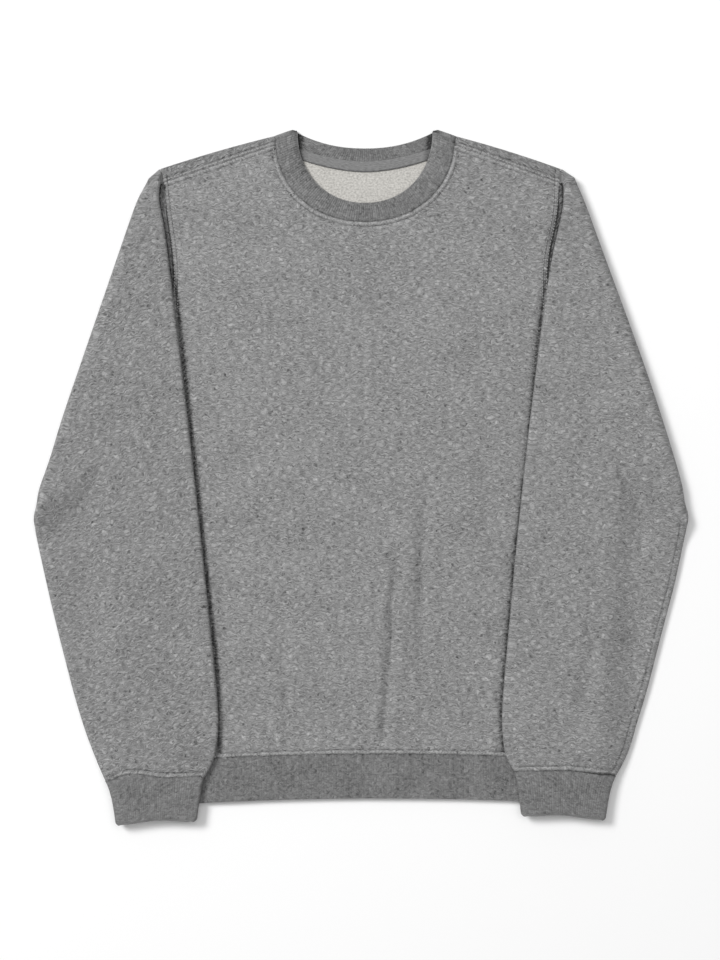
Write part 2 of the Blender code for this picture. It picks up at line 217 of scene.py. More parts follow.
def near_line(points: Array, line: Array) -> tuple[Array, Array]:
    """Distance of plan points from a line of several stretches, and the share along it.

    Args:
        points: Plan points.
        line: Corners of the line.

    Returns:
        Signed distances, positive on the line's left, and shares of its length.
    """
    best = np.full(points.shape[:-1], np.inf)
    sign = np.ones(points.shape[:-1])
    where = np.zeros(points.shape[:-1])
    lengths = np.linalg.norm(np.diff(line, axis=0), axis=1)
    total = lengths.sum()
    run = 0.0
    for start, end, length in zip(line[:-1], line[1:], lengths):
        direction = (end - start) / length
        off = points - start
        along = off @ direction
        cross = off[..., 1] * direction[0] - off[..., 0] * direction[1]
        reach = np.clip(along, 0.0, length)
        distance = np.hypot(off[..., 0] - direction[0] * reach, off[..., 1] - direction[1] * reach)
        closer = distance < best
        best = np.where(closer, distance, best)
        sign = np.where(closer, np.sign(cross), sign)
        where = np.where(closer, (run + reach) / total, where)
        run += length
    return best * sign, where


# ---- Shading ----


class Signal:
    """A number that varies over a surface: one output socket, with arithmetic."""

    def __init__(self, shading: "Shading", socket: Socket) -> None:
        """Wrap a socket of the shading's node tree."""
        self.shading = shading
        self.socket = socket

    def _math(self, operation: str, first: object, second: object) -> "Signal":
        """One Math node on two values."""
        node = self.shading.node("ShaderNodeMath", {"operation": operation}, {0: first, 1: second})
        return Signal(self.shading, node.outputs[0])

    def __add__(self, other: object) -> "Signal":
        """Sum."""
        return self._math("ADD", self, other)

    def __sub__(self, other: object) -> "Signal":
        """Difference."""
        return self._math("SUBTRACT", self, other)

    def __rsub__(self, other: object) -> "Signal":
        """Difference from a number on the left."""
        return self._math("SUBTRACT", other, self)

    def __mul__(self, other: object) -> "Signal":
        """Product."""
        return self._math("MULTIPLY", self, other)

    __radd__ = __add__
    __rmul__ = __mul__

    def step(self, low: float, high: float) -> "Signal":
        """Smooth rise from 0 to 1.

        Args:
            low: Value at which it starts.
            high: Value at which it ends.

        Returns:
            The risen signal.
        """
        node = self.shading.node(
            "ShaderNodeMapRange",
            {"interpolation_type": "SMOOTHSTEP"},
            {"Value": self, "From Min": low, "From Max": high},
        )
        return Signal(self.shading, node.outputs["Result"])


class Shading:
    """Node tree of one finish, ending in a Principled shader."""

    def __init__(self, name: str) -> None:
        """Start an empty material of that name.

        Args:
            name: Name of the material.
        """
        self.material = bpy.data.materials.new(name)
        self.material.use_nodes = True
        self.tree = self.material.node_tree
        self.shader = self.tree.nodes["Principled BSDF"]

    def node(self, kind: str, settings: dict, inputs: dict) -> bpy.types.Node:
        """Add a node.

        Args:
            kind: Type of the node.
            settings: Its settings, which are made first.
            inputs: Values or links, by socket name or number.

        Returns:
            The node.
        """
        made = self.tree.nodes.new(kind)
        for name, value in settings.items():
            setattr(made, name, value)
        for name, value in inputs.items():
            self.feed(made.inputs[name], value)
        return made

    def feed(self, socket: Socket, value: object) -> None:
        """Link or set a socket.

        Args:
            socket: Input socket.
            value: A signal, an output socket or a constant.
        """
        if isinstance(value, Signal):
            self.tree.links.new(value.socket, socket)
        elif isinstance(value, Socket):
            self.tree.links.new(value, socket)
        else:
            socket.default_value = value

    def cut(self) -> Socket:
        """Place on the flat cut piece, in millimetres."""
        place = self.node("ShaderNodeUVMap", {"uv_map": "cut"}, {})
        return self.vector("MULTIPLY", place.outputs["UV"], (1 / MM, 1 / MM, 1.0))

    def vector(self, operation: str, first: object, second: object) -> Socket:
        """One Vector Math node on two vectors."""
        node = self.node("ShaderNodeVectorMath", {"operation": operation}, {0: first, 1: second})
        return node.outputs["Vector"]

    def cloud(
        self, place: Socket, size: tuple, detail: float = 2.0, seed: float = 0.0
    ) -> bpy.types.Node:
        """Noise stretched to a size.

        Args:
            place: Vector that the pattern follows.
            size: Length of the pattern along each axis.
            detail: How many finer patterns lie on it.
            seed: Shift that gives another pattern.

        Returns:
            The noise node.
        """
        shifted = self.vector("ADD", place, (seed * 17.0, seed * 29.0, seed))
        scaled = self.vector("MULTIPLY", shifted, (1 / size[0], 1 / size[1], 1.0))
        return self.node(
            "ShaderNodeTexNoise",
            {"noise_dimensions": "3D"},
            {"Vector": scaled, "Scale": 1.0, "Detail": detail, "Roughness": 0.55},
        )

    def flecks(self, place: Socket, size: Pair, bend: float) -> tuple[Signal, Signal]:
        """Short wavy fibres, and finer ones between them.

        Args:
            place: Place on the cut piece, in millimetres.
            size: Length and width of a fibre.
            bend: How far a fibre strays from its course.

        Returns:
            The flecks and the fine fibres.
        """
        stray = self.cloud(place, (6.5, 5.0), 1.0, 3.0)
        centred = self.vector("SUBTRACT", stray.outputs["Color"], (0.5, 0.5, 0.5))
        wavy = self.vector("ADD", place, self.vector("MULTIPLY", centred, (bend, 2 * bend, 0.0)))
        flecks = self.number(self.cloud(wavy, size, 2.0, 1.0), "Fac")
        fine = self.number(self.cloud(wavy, (size[0] * 0.4, size[1] * 0.35), 2.0, 11.0), "Fac")
        return flecks, fine

    def painted_shade_tone(self) -> Signal:
        """Painted highlight and shade read from the mesh: above 0 on a seam's raised edge, partly worn
        cloth, below 0 in grooves, pockets and under the sleeves' edges.
        """
        mark = self.node("ShaderNodeAttribute", {"attribute_name": "shade_and_wear"}, {})
        return self.number(mark, "Fac")

    def number(self, node: bpy.types.Node, output: str) -> Signal:
        """One output of a node as a number."""
        return Signal(self, node.outputs[output])

    def colour(self, factor: Signal, first: object, second: object) -> Socket:
        """Colour between two colours."""
        ends = {"Factor": factor, 6: first, 7: second}
        return self.node("ShaderNodeMix", {"data_type": "RGBA"}, ends).outputs[2]

    def finish(
        self, colour: object, height: Signal, depth: float, roughness: object, sheen: float
    ) -> Material:
        """Close the tree: colour, bump and the constants of the cloth.

        Args:
            colour: Base colour, fixed or linked.
            height: Height of the fine relief, in parts of the depth.
            depth: Depth of the fine relief, in metres.
            roughness: Roughness, fixed or linked.
            sheen: Weight of the pale fuzz seen at a slant.

        Returns:
            The material.
        """
        bump = self.node("ShaderNodeBump", {}, {"Height": height, "Distance": depth, "Strength": 1.0})
        self.feed(self.shader.inputs["Base Color"], colour)
        self.feed(self.shader.inputs["Roughness"], roughness)
        self.feed(self.shader.inputs["Normal"], bump.outputs["Normal"])
        self.shader.inputs["Sheen Weight"].default_value = sheen
        self.shader.inputs["Sheen Roughness"].default_value = 0.5
        self.shader.inputs["Specular IOR Level"].default_value = 0.2
        return self.material


def grey(level: float, warmth: float = 0.0) -> tuple[float, float, float, float]:
    """Linear grey, a little yellower with a positive warmth."""
    return (level * (1 + warmth), level, level * (1 - 2.2 * warmth), 1.0)


@dataclass(frozen=True)
class MarlFinish:
    """Outside of the fleece: grey yarn mixed with pale and dark fibres, in short wavy flecks."""

    name: str = "grey marl fleece"
    pale: float = 0.56
    dark: float = 0.032
    fleck: Pair = (6.8, 1.55)
    bend: float = 4.6
    cloud: tuple[Pair, float, float] = ((60.0, 36.0), 2.0, 5.0)
    middle: float = 0.39
    fleck_share: float = 0.92
    fine_share: float = 0.92
    cloud_share: float = 0.16
    strand_share: float = 0.07
    # Share of the painted highlight and shade, with worn seams, in the colour.
    shade_and_wear_share: float = 0.30
    bump: Triple = (0.7, 0.4, 0.0007)
    sheen: float = 0.12

    def material(self) -> Material:
        """Material with flecks along the knit's courses and a fine fuzz.

        Returns:
            The material.
        """
        s = Shading(self.name)
        place = s.cut()
        flecks, fine = s.flecks(place, self.fleck, self.bend)
        broad = s.number(s.cloud(place, *self.cloud), "Fac")
        tone = self.middle + self.fleck_share * (flecks - 0.5) + self.fine_share * (fine - 0.5)
        tone = tone + self.cloud_share * (broad - 0.5)
        if self.strand_share:
            tone = tone + self.strand_share * flecks.step(0.5, 0.7)
        # Painted highlight and shade from the seams, the sleeves' edges and the collar's pockets pale or
        # darken the yarn.
        tone = tone + self.shade_and_wear_share * s.painted_shade_tone()
        colour = s.colour(tone, grey(self.dark), grey(self.pale))
        height = self.bump[0] * flecks + self.bump[1] * fine
        return s.finish(colour, height, self.bump[2], 0.93 - 0.06 * fine, self.sheen)


@dataclass(frozen=True)
class RibFinish(MarlFinish):
    """Rib of the collar, cuffs and waistband: darker and finer than the fleece."""

    name: str = "grey rib"
    pale: float = 0.40
    dark: float = 0.03
    fleck: Pair = (4.6, 2.6)
    bend: float = 5.0
    cloud: tuple[Pair, float, float] = ((26.0, 30.0), 2.0, 6.0)
    middle: float = 0.392
    fleck_share: float = 0.85
    fine_share: float = 0.7
    cloud_share: float = 0.3
    strand_share: float = 0.0
    bump: Triple = (0.6, 0.4, 0.0005)
    sheen: float = 0.1


@dataclass(frozen=True)
class LoopFinish:
    """Inside of the fleece: pale loops with darker specks between them."""

    name: str = "pale fleece inside"
    level: float = 0.48

    def material(self) -> Material:
        """Material with small pale loops.

        Returns:
            The material.
        """
        s = Shading(self.name)
        place = s.cut()
        loops = s.number(s.cloud(place, (2.3, 1.7), 3.0, 2.0), "Fac")
        broad = s.number(s.cloud(place, (14.0, 14.0), 1.0, 5.0), "Fac")
        tone = loops.step(0.2, 0.75) * 0.9 + 0.3 * (broad - 0.5) + 0.05
        colour = s.colour(tone, grey(self.level * 0.66, 0.027), grey(self.level * 1.26, 0.025))
        return s.finish(colour, loops, 0.0006, 0.95 - 0.05 * loops, 0.1)


@dataclass(frozen=True)
class TapeFinish:
    """Jersey tape over the back neck seam, darker along its lower edge."""

    name: str = "grey jersey tape"
    pale: float = 0.36
    dark: float = 0.09

    def material(self) -> Material:
        """Material that darkens at the tape's lower edge.

        Returns:
            The material.
        """
        s = Shading(self.name)
        place = s.cut()
        fleck = s.number(s.cloud(place, (4.0, 1.0), 2.0, 4.0), "Fac")
        ragged = s.number(s.cloud(place, (1.6, 1.2), 1.0, 8.0), "Fac")
        up = self.height_up(s, place)
        edge = 1 - (up - 1.1 * (ragged - 0.5)).step(0.7, 1.7)
        # Painted shade from the collar's pockets darkens the tape.
        tone = 0.42 + 0.9 * (fleck - 0.5) - 0.36 * edge + 0.3 * s.painted_shade_tone()
        colour = s.colour(tone, grey(self.dark), grey(self.pale))
        return s.finish(colour, fleck, 0.0004, 0.92 - 0.06 * fleck, 0.1)

    @staticmethod
    def height_up(s: Shading, place: Socket) -> Signal:
        """Height above the tape's lower edge, in millimetres."""
        split = s.node("ShaderNodeSeparateXYZ", {}, {"Vector": place})
        return s.number(split, "Y")


@dataclass(frozen=True)
class ThreadFinish:
    """Pale sewing thread."""

    name: str = "pale thread"
    level: float = 0.42

    def material(self) -> Material:
        """Material with a slight twist along the thread.

        Returns:
            The material.
        """
        s = Shading(self.name)
        place = s.node("ShaderNodeTexCoord", {}, {}).outputs["Object"]
        scaled = s.vector("MULTIPLY", place, (1 / MM, 1 / MM, 1 / MM))
        twist = s.number(s.cloud(scaled, (0.6, 0.6), 1.0, 2.0), "Fac")
        colour = s.colour(twist, grey(self.level * 0.7), grey(self.level * 1.25))
        return s.finish(colour, twist, 0.0001, 0.8 - 0.1 * twist, 0.05)


@dataclass(frozen=True)
class FloorFinish:
    """Plain pale floor."""

    name: str = "pale floor"
    level: float = 0.93

    def material(self) -> Material:
        """Matt, nearly even material.

        Returns:
            The material.
        """
        s = Shading(self.name)
        place = s.node("ShaderNodeTexCoord", {}, {}).outputs["Object"]
        broad = s.number(s.cloud(place, (0.4, 0.4), 1.0, 1.0), "Fac")
        colour = s.colour(broad, grey(self.level * 0.99), grey(self.level))
        return s.finish(colour, broad, 0.0001, 0.95, 0.0)


# ---- Sheets of cloth ----


def placed(name: str, data: bpy.types.ID) -> Piece:
    """New object at the origin of the scene.

    Args:
        name: Name of the object.
        data: Its mesh, light or camera.

    Returns:
        The object.
    """
    piece = bpy.data.objects.new(name, data)
    bpy.context.scene.collection.objects.link(piece)
    return piece


@dataclass
class Sheet:
    """One piece of cloth under construction, from patches that meet edge to edge."""

    name: str
    thickness: float
    bm: bmesh.types.BMesh = field(default_factory=bmesh.new)

    def patch(self, points: Array, cut: Array, shade_and_wear: Array | None = None) -> None:
        """Lay a grid of faces over rows of points.

        Args:
            points: Places in millimetres, rows by columns by three.
            cut: Places on the flat cut piece in millimetres, rows by columns by two.
            shade_and_wear: Painted highlight and shade, with partly worn seams, that pale or darken the
                cloth, rows by columns.
        """
        rows, columns = points.shape[:2]
        grid = bmesh.new()
        bmesh.ops.create_grid(grid, x_segments=columns - 1, y_segments=rows - 1, size=1.0)
        mesh = bpy.data.meshes.new("patch")
        grid.to_mesh(mesh)
        grid.free()
        mesh.vertices.foreach_set("co", (points.reshape(-1) * MM).astype(np.float32))
        corner = np.empty(len(mesh.loops), np.int32)
        mesh.loops.foreach_get("vertex_index", corner)
        layer = mesh.uv_layers.new(name="cut")
        flat = (cut.reshape(-1, 2) * MM)[corner]
        layer.data.foreach_set("uv", flat.reshape(-1).astype(np.float32))
        # Painted highlight and shade go into this attribute, which the finishes add to the cloth's colour.
        marks = mesh.attributes.new("shade_and_wear", "FLOAT", "POINT")
        level = np.zeros(rows * columns) if shade_and_wear is None else shade_and_wear.reshape(-1)
        marks.data.foreach_set("value", level.astype(np.float32))
        self.bm.from_mesh(mesh)
        bpy.data.meshes.remove(mesh)

    def made(self, finishes: list[Material], inside: Vector, edge: float = 0.0) -> Piece:
        """Join the patches, turn them outwards and give the cloth its thickness.

        Args:
            finishes: Material of the outside, then of the inside.
            inside: A point that the cloth faces away from, in millimetres.
            edge: Radius of a rounded cut edge, or 0 where the edge is sewn in.

        Returns:
            The piece, with its shape in its mesh.
        """
        bm = self.bm
        bmesh.ops.remove_doubles(bm, verts=bm.verts, dist=0.02 * MM)
        bmesh.ops.dissolve_degenerate(bm, edges=bm.edges, dist=0.005 * MM)
        bmesh.ops.recalc_face_normals(bm, faces=bm.faces)
        centre = inside * MM
        faced = sum(
            face.calc_area() * face.normal.dot(face.calc_center_median() - centre)
            for face in bm.faces
        )
        if faced < 0:
            bmesh.ops.reverse_faces(bm, faces=bm.faces)
        mesh = bpy.data.meshes.new(self.name)
        bm.to_mesh(mesh)
        bm.free()
        for finish in finishes:
            mesh.materials.append(finish)
        piece = placed(self.name, mesh)
        wall = piece.modifiers.new("wall", "SOLIDIFY")
        wall.thickness = self.thickness * MM
        wall.offset = 0.0
        wall.use_quality_normals = True
        wall.material_offset = len(finishes) - 1
        if edge:
            rounding = piece.modifiers.new("rounded edge", "BEVEL")
            rounding.width = edge * MM
            rounding.segments = 2
            rounding.limit_method = "ANGLE"
            rounding.angle_limit = math.radians(60.0)
        return settled(piece)


def settled(piece: Piece) -> Piece:
    """Put a piece's modifiers into its mesh and smooth its faces up to sharp edges.

    Args:
        piece: Piece with modifiers.

    Returns:
        The same piece.
    """
    graph = bpy.context.evaluated_depsgraph_get()
    mesh = bpy.data.meshes.new_from_object(piece.evaluated_get(graph))
    old = piece.data
    piece.modifiers.clear()
    piece.data = mesh
    bpy.data.meshes.remove(old)
    mesh.name = piece.name
    mesh.shade_smooth()
    mesh.set_sharp_from_angle(angle=math.radians(55.0))
    return piece


# ---- The garment's own sizes ----


@dataclass(frozen=True)
class Cloth:
    """Thickness of each cloth and the heights of its layers as they lie, in millimetres."""

    fleece: float = 2.2
    rib: float = 2.4
    tape: float = 1.0
    air: float = 4.6
    seam: float = 0.4

    @property
    def back_z(self) -> float:
        """Middle of the back layer."""
        return self.fleece / 2

    @property
    def front_z(self) -> float:
        """Middle of the front layer."""
        return self.back_z + self.fleece + self.air

    @property
    def roll(self) -> float:
        """Radius of a turned edge."""
        return (self.front_z - self.back_z) / 2

    @property
    def middle_z(self) -> float:
        """Height halfway between the two layers."""
        return (self.front_z + self.back_z) / 2

    @property
    def rib_lift(self) -> float:
        """How much higher the middle of the rib lies than the fleece's."""
        return (self.rib - self.fleece) / 2


CLOTH = Cloth()


def turned(point: Array, direction: Array, angle: Array, middle: float, radius: float) -> Array:
    """Points of a rolled edge: angle 0 is the upper layer and half a turn the lower one.

    Args:
        point: Plan points of the line where the layers start to turn.
        direction: Direction in which each rolls out.
        angle: Angles of the roll.
        middle: Height of the roll's axis.
        radius: Radius of the roll.

    Returns:
        Points with one row for each angle and one column for each plan point.
    """
    point = np.atleast_2d(point)
    direction = np.broadcast_to(direction, point.shape)
    angle = np.asarray(angle)[:, None]
    reach = radius * np.sin(angle)
    x = point[None, :, 0] + direction[None, :, 0] * reach
    y = point[None, :, 1] + direction[None, :, 1] * reach
    z = np.broadcast_to(middle + radius * np.cos(angle), x.shape)
    return np.stack([x, y, z], axis=-1)


@dataclass(frozen=True)
class Crease:
    """A soft fold in the cloth: a trough between two low ridges, or a ridge alone."""

    line: tuple[Pair, ...]
    depth: float
    width: float
    shoulders: float = 0.4
    lead: float = 0.25
    fade: float = 0.25

    def height(self, points: Array) -> Array:
        """Height that the crease adds at plan points.

        Args:
            points: Plan points.

        Returns:
            One height for each point.
        """
        off, where = near_line(points, np.array(self.line))
        share = ease(where / self.lead) * ease((1.0 - where) / self.fade)
        side = 1.7 * self.width
        low = hump(off, self.width)
        high = hump(off - side, self.width) + hump(off + side, self.width)
        return self.depth * share * (self.shoulders * high - low)


@dataclass(frozen=True)
class SeamMark:
    """Marks of a seam: its groove, the raised edge beside it, and the dip past that edge.

    Heights and widths are in millimetres; pale is a painted highlight on the raised edge, partly worn
    cloth, and dark and shade are painted shade in the groove and in the dip.
    """

    ridge: float = 0.55
    ridge_width: float = 1.1
    groove: float = 0.9
    groove_width: float = 0.9
    dip: float = 0.45
    dip_at: float = 2.3
    dip_width: float = 1.0
    # pale lightens the raised edge, a painted highlight on partly worn cloth; dark is painted shade in the
    # groove; shade is painted shade in the dip.
    pale: float = 0.3
    pale_width: float = 1.0
    dark: float = 0.8
    dark_width: float = 0.75
    shade: float = 0.65
    shade_at: float = 2.1
    shade_width: float = 0.9

    def height(self, off: Array, ridge_at: float) -> Array:
        """Height beside the seam.

        Args:
            off: Distances from the seam.
            ridge_at: Distance of the raised edge.

        Returns:
            One height for each distance.
        """
        rise = self.ridge * hump(off - ridge_at, self.ridge_width)
        fall = self.groove * hump(off, self.groove_width)
        return rise - fall - self.dip * hump(off - ridge_at - self.dip_at, self.dip_width)

    def shade_and_wear(self, off: Array, ridge_at: float) -> Array:
        """Painted highlight and shade beside the seam.

        Args:
            off: Distances from the seam.
            ridge_at: Distance of the raised edge.

        Returns:
            Painted highlight and shade at each distance.
        """
        painted_light_and_wear = self.pale * hump(off - ridge_at, self.pale_width)
        painted_groove_shade = self.dark * hump(off, self.dark_width)
        return painted_light_and_wear - painted_groove_shade - self.shade * hump(off - ridge_at - self.shade_at, self.shade_width)


PANEL_SEAM = SeamMark()
CUFF_SEAM = SeamMark(0.6, 1.2, 0.9, 0.8, 0.8, 2.8, 1.2, 0.35, 1.1, 0.75, 0.7, 0.6, 2.6, 1.1)


@dataclass(frozen=True)
class Pattern:
    """Plan of the laid garment: where the panels end and where the seams run."""

    hem_half: float = 231.5
    hem_y: float = -293.3
    hem_sag: float = 7.5
    hem_tilt: float = 1.5
    band_height: float = 47.0
    shoulder: Pair = (210.5, 320.0)
    underarm: Pair = (248.4, 45.9)
    bend_top: Pair = (190.0, 235.0)
    bend_low: Pair = (190.0, 110.0)
    seam_at: float = 0.04
    seam_neck: float = 5.5
    crown: float = 1.5
    shoulder_peak: float = 0.35
    end_opening: float = 0.6
    end_sharpness: int = 8
    underarm_spread: float = 0.15
    left_spread: float = 2.6
    right_spread: float = 6.3
    spread_at: float = 0.16
    spread_width: float = 0.13
    neck_x: float = 4.75
    neck_y: float = 355.0
    neck_half: float = 94.7
    front_drop: float = 86.6
    back_drop: float = 23.5
    roundness: float = 2.1
    back_curve: float = 1.8

    def hem_line(self, x: Array) -> Array:
        """Waistband seam: its Y at places across the body."""
        share = x / self.hem_half
        return self.hem_y - self.hem_sag * share**2 + self.hem_tilt * share

    def armhole(self, side: Side, share: Array, away: float) -> Array:
        """Points beside the armhole seam.

        Args:
            side: Which armhole.
            share: Shares from the shoulder fold down to the underarm.
            away: 1 on the sleeve and -1 on the body.

        Returns:
            One plan point for each share.
        """
        share = np.atleast_1d(np.asarray(share, float))
        rest = 1 - share
        weights = np.stack([rest**3, 3 * rest**2 * share, 3 * rest * share**2, share**3], axis=-1)
        corners = np.array((self.shoulder, self.bend_top, self.bend_low, self.underarm))
        points = weights @ corners
        opening = 1 + self.end_opening * np.abs(2 * share - 1) ** self.end_sharpness
        points[:, 0] += away * CLOTH.seam / 2 * opening
        spread = self.left_spread if side is Side.LEFT else self.right_spread
        points[:, 0] += spread * hump(share - self.spread_at, self.spread_width) * ease(share / 0.05)
        points[:, 0] *= side.value
        return points

    def underarm_turn(self, side: Side, away: float) -> Array:
        """Direction in which the cloth turns over at the underarm.

        Args:
            side: Which underarm.
            away: 1 on the sleeve and -1 on the body.

        Returns:
            A direction of length one.
        """
        x, y = unit(self.underarm[0] - self.bend_low[0], self.underarm[1] - self.bend_low[1])
        x, y = unit(x + away * self.underarm_spread, y)
        return np.array((side.value * x, y))

    def neck_corner(self, side: Side) -> Array:
        """Point where the shoulder fold meets the neck seam."""
        return np.array((self.neck_x + side.value * self.neck_half, self.neck_y))

    def shoulder_turn(self, side: Side) -> Array:
        """Direction in which the cloth turns over along the shoulder.

        Args:
            side: Which shoulder.

        Returns:
            A direction of length one.
        """
        neck = self.neck_corner(side)
        x, y = unit(neck[1] - self.shoulder[1], self.shoulder[0] - side.value * neck[0])
        return np.array((side.value * x, y))

    def shoulder_fold(self, side: Side, share: Array) -> Array:
        """Shoulder fold, from the armhole to the neck, with a slight crown.

        Args:
            side: Which shoulder.
            share: Shares of the way.

        Returns:
            One plan point for each share.
        """
        outer = self.armhole(side, 0.0, -1)[0]
        inner = self.neck_corner(side) + np.array((side.value * CLOTH.seam / 2, 0.0))
        line = mixed(outer, inner, share)
        share = np.asarray(share, float)
        rise = self.crown * np.sin(math.pi * share) ** 0.8 + self.shoulder_peak * (1 - share) ** 2
        return line + self.shoulder_turn(side) * rise[:, None]

    def shoulder_seam(self, side: Side, share: Array, clear: float = 0.0) -> Array:
        """Shoulder seam on the front, from the armhole to the neck.

        Args:
            side: Which shoulder.
            share: Shares of the way.
            clear: Distance below the seam.

        Returns:
            One plan point for each share.
        """
        outer = self.armhole(side, self.seam_at, -1)[0]
        neck = self.neck_corner(side)
        inner = np.array((neck[0] + side.value * CLOTH.seam / 2, neck[1] - self.seam_neck))
        return mixed(outer, inner, share) - np.array((0.0, clear))

    def front_neck(self, share: Array, half: float, top: float, drop: float) -> Array:
        """Points on a front neck line, from the left shoulder to the right one.

        Args:
            share: Shares of the turn.
            half: Half of its width.
            top: Y of its ends.
            drop: Depth below its ends.

        Returns:
            One plan point for each share.
        """
        turn = math.pi * np.asarray(share, float)
        cosine = np.cos(turn)
        across = -np.sign(cosine) * np.abs(cosine) ** (2 / self.roundness)
        down = np.abs(np.sin(turn)) ** (2 / self.roundness)
        return np.stack([self.neck_x + half * across, top - drop * down], axis=-1)

    def back_neck(self, share: Array, half: float, top: float, drop: float, curve: float) -> Array:
        """Points on a back neck line, from the left shoulder to the right one.

        Args:
            share: Shares of the width.
            half: Half of its width.
            top: Y of its ends.
            drop: Depth below its ends.
            curve: Power of its curve.

        Returns:
            One plan point for each share.
        """
        across = 2 * np.asarray(share, float) - 1
        y = top - drop * (1 - np.abs(across) ** curve)
        return np.stack([self.neck_x + half * across, y], axis=-1)

    def outside_neck(self, points: Array) -> Array:
        """Distance of plan points outside the front neck seam.

        Args:
            points: Plan points.

        Returns:
            Distances, negative inside the neck.
        """
        x = (points[..., 0] - self.neck_x) / self.neck_half
        y = (self.neck_y - points[..., 1]) / self.front_drop
        n = self.roundness
        level = np.abs(x) ** n + np.abs(np.maximum(y, 0.0)) ** n
        slope_x = n * np.abs(x) ** (n - 1) / self.neck_half
        slope_y = n * np.maximum(y, 0.0) ** (n - 1) / self.front_drop
        return (level - 1) / np.maximum(np.hypot(slope_x, slope_y), 1e-4)


PATTERN = Pattern()


def filled(bottom: Array, top: Array, left: Array, right: Array, u: Array, v: Array) -> Array:
    """Rows of plan points that fill four edges.

    Args:
        bottom: Points of the lower edge, one for each u.
        top: Points of the upper edge, one for each u.
        left: Points of the left edge, one for each v.
        right: Points of the right edge, one for each v.
        u: Shares across.
        v: Shares up.

    Returns:
        Rows by columns of plan points.
    """
    u = u[None, :, None]
    v = v[:, None, None]
    across = left[:, None] * (1 - u) + right[:, None] * u
    up = bottom[None] * (1 - v) + top[None] * v
    low = bottom[0] * (1 - u) + bottom[-1] * u
    high = top[0] * (1 - u) + top[-1] * u
    return across + up - low * (1 - v) - high * v


def piece_of(
    piece: Piece,
    node: str,
) -> Piece:
    """Hand a finished piece of cloth to the frame.

    Args:
        piece: The piece.
        node: CAD node that it stands for.

    Returns:
        The piece.
    """
    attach(piece, "root")
    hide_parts(node)
    mine = np.array([v.co for v in piece.data.vertices])
    low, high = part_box(node)
    off = max(abs(mine.min(0) - np.array(low)).max(), abs(mine.max(0) - np.array(high)).max())
    LOG.info(
        "%s: %d faces, off its solid's box by %.1f mm", piece.name, len(piece.data.polygons), off / MM
    )
    return piece


# ---- Body ----


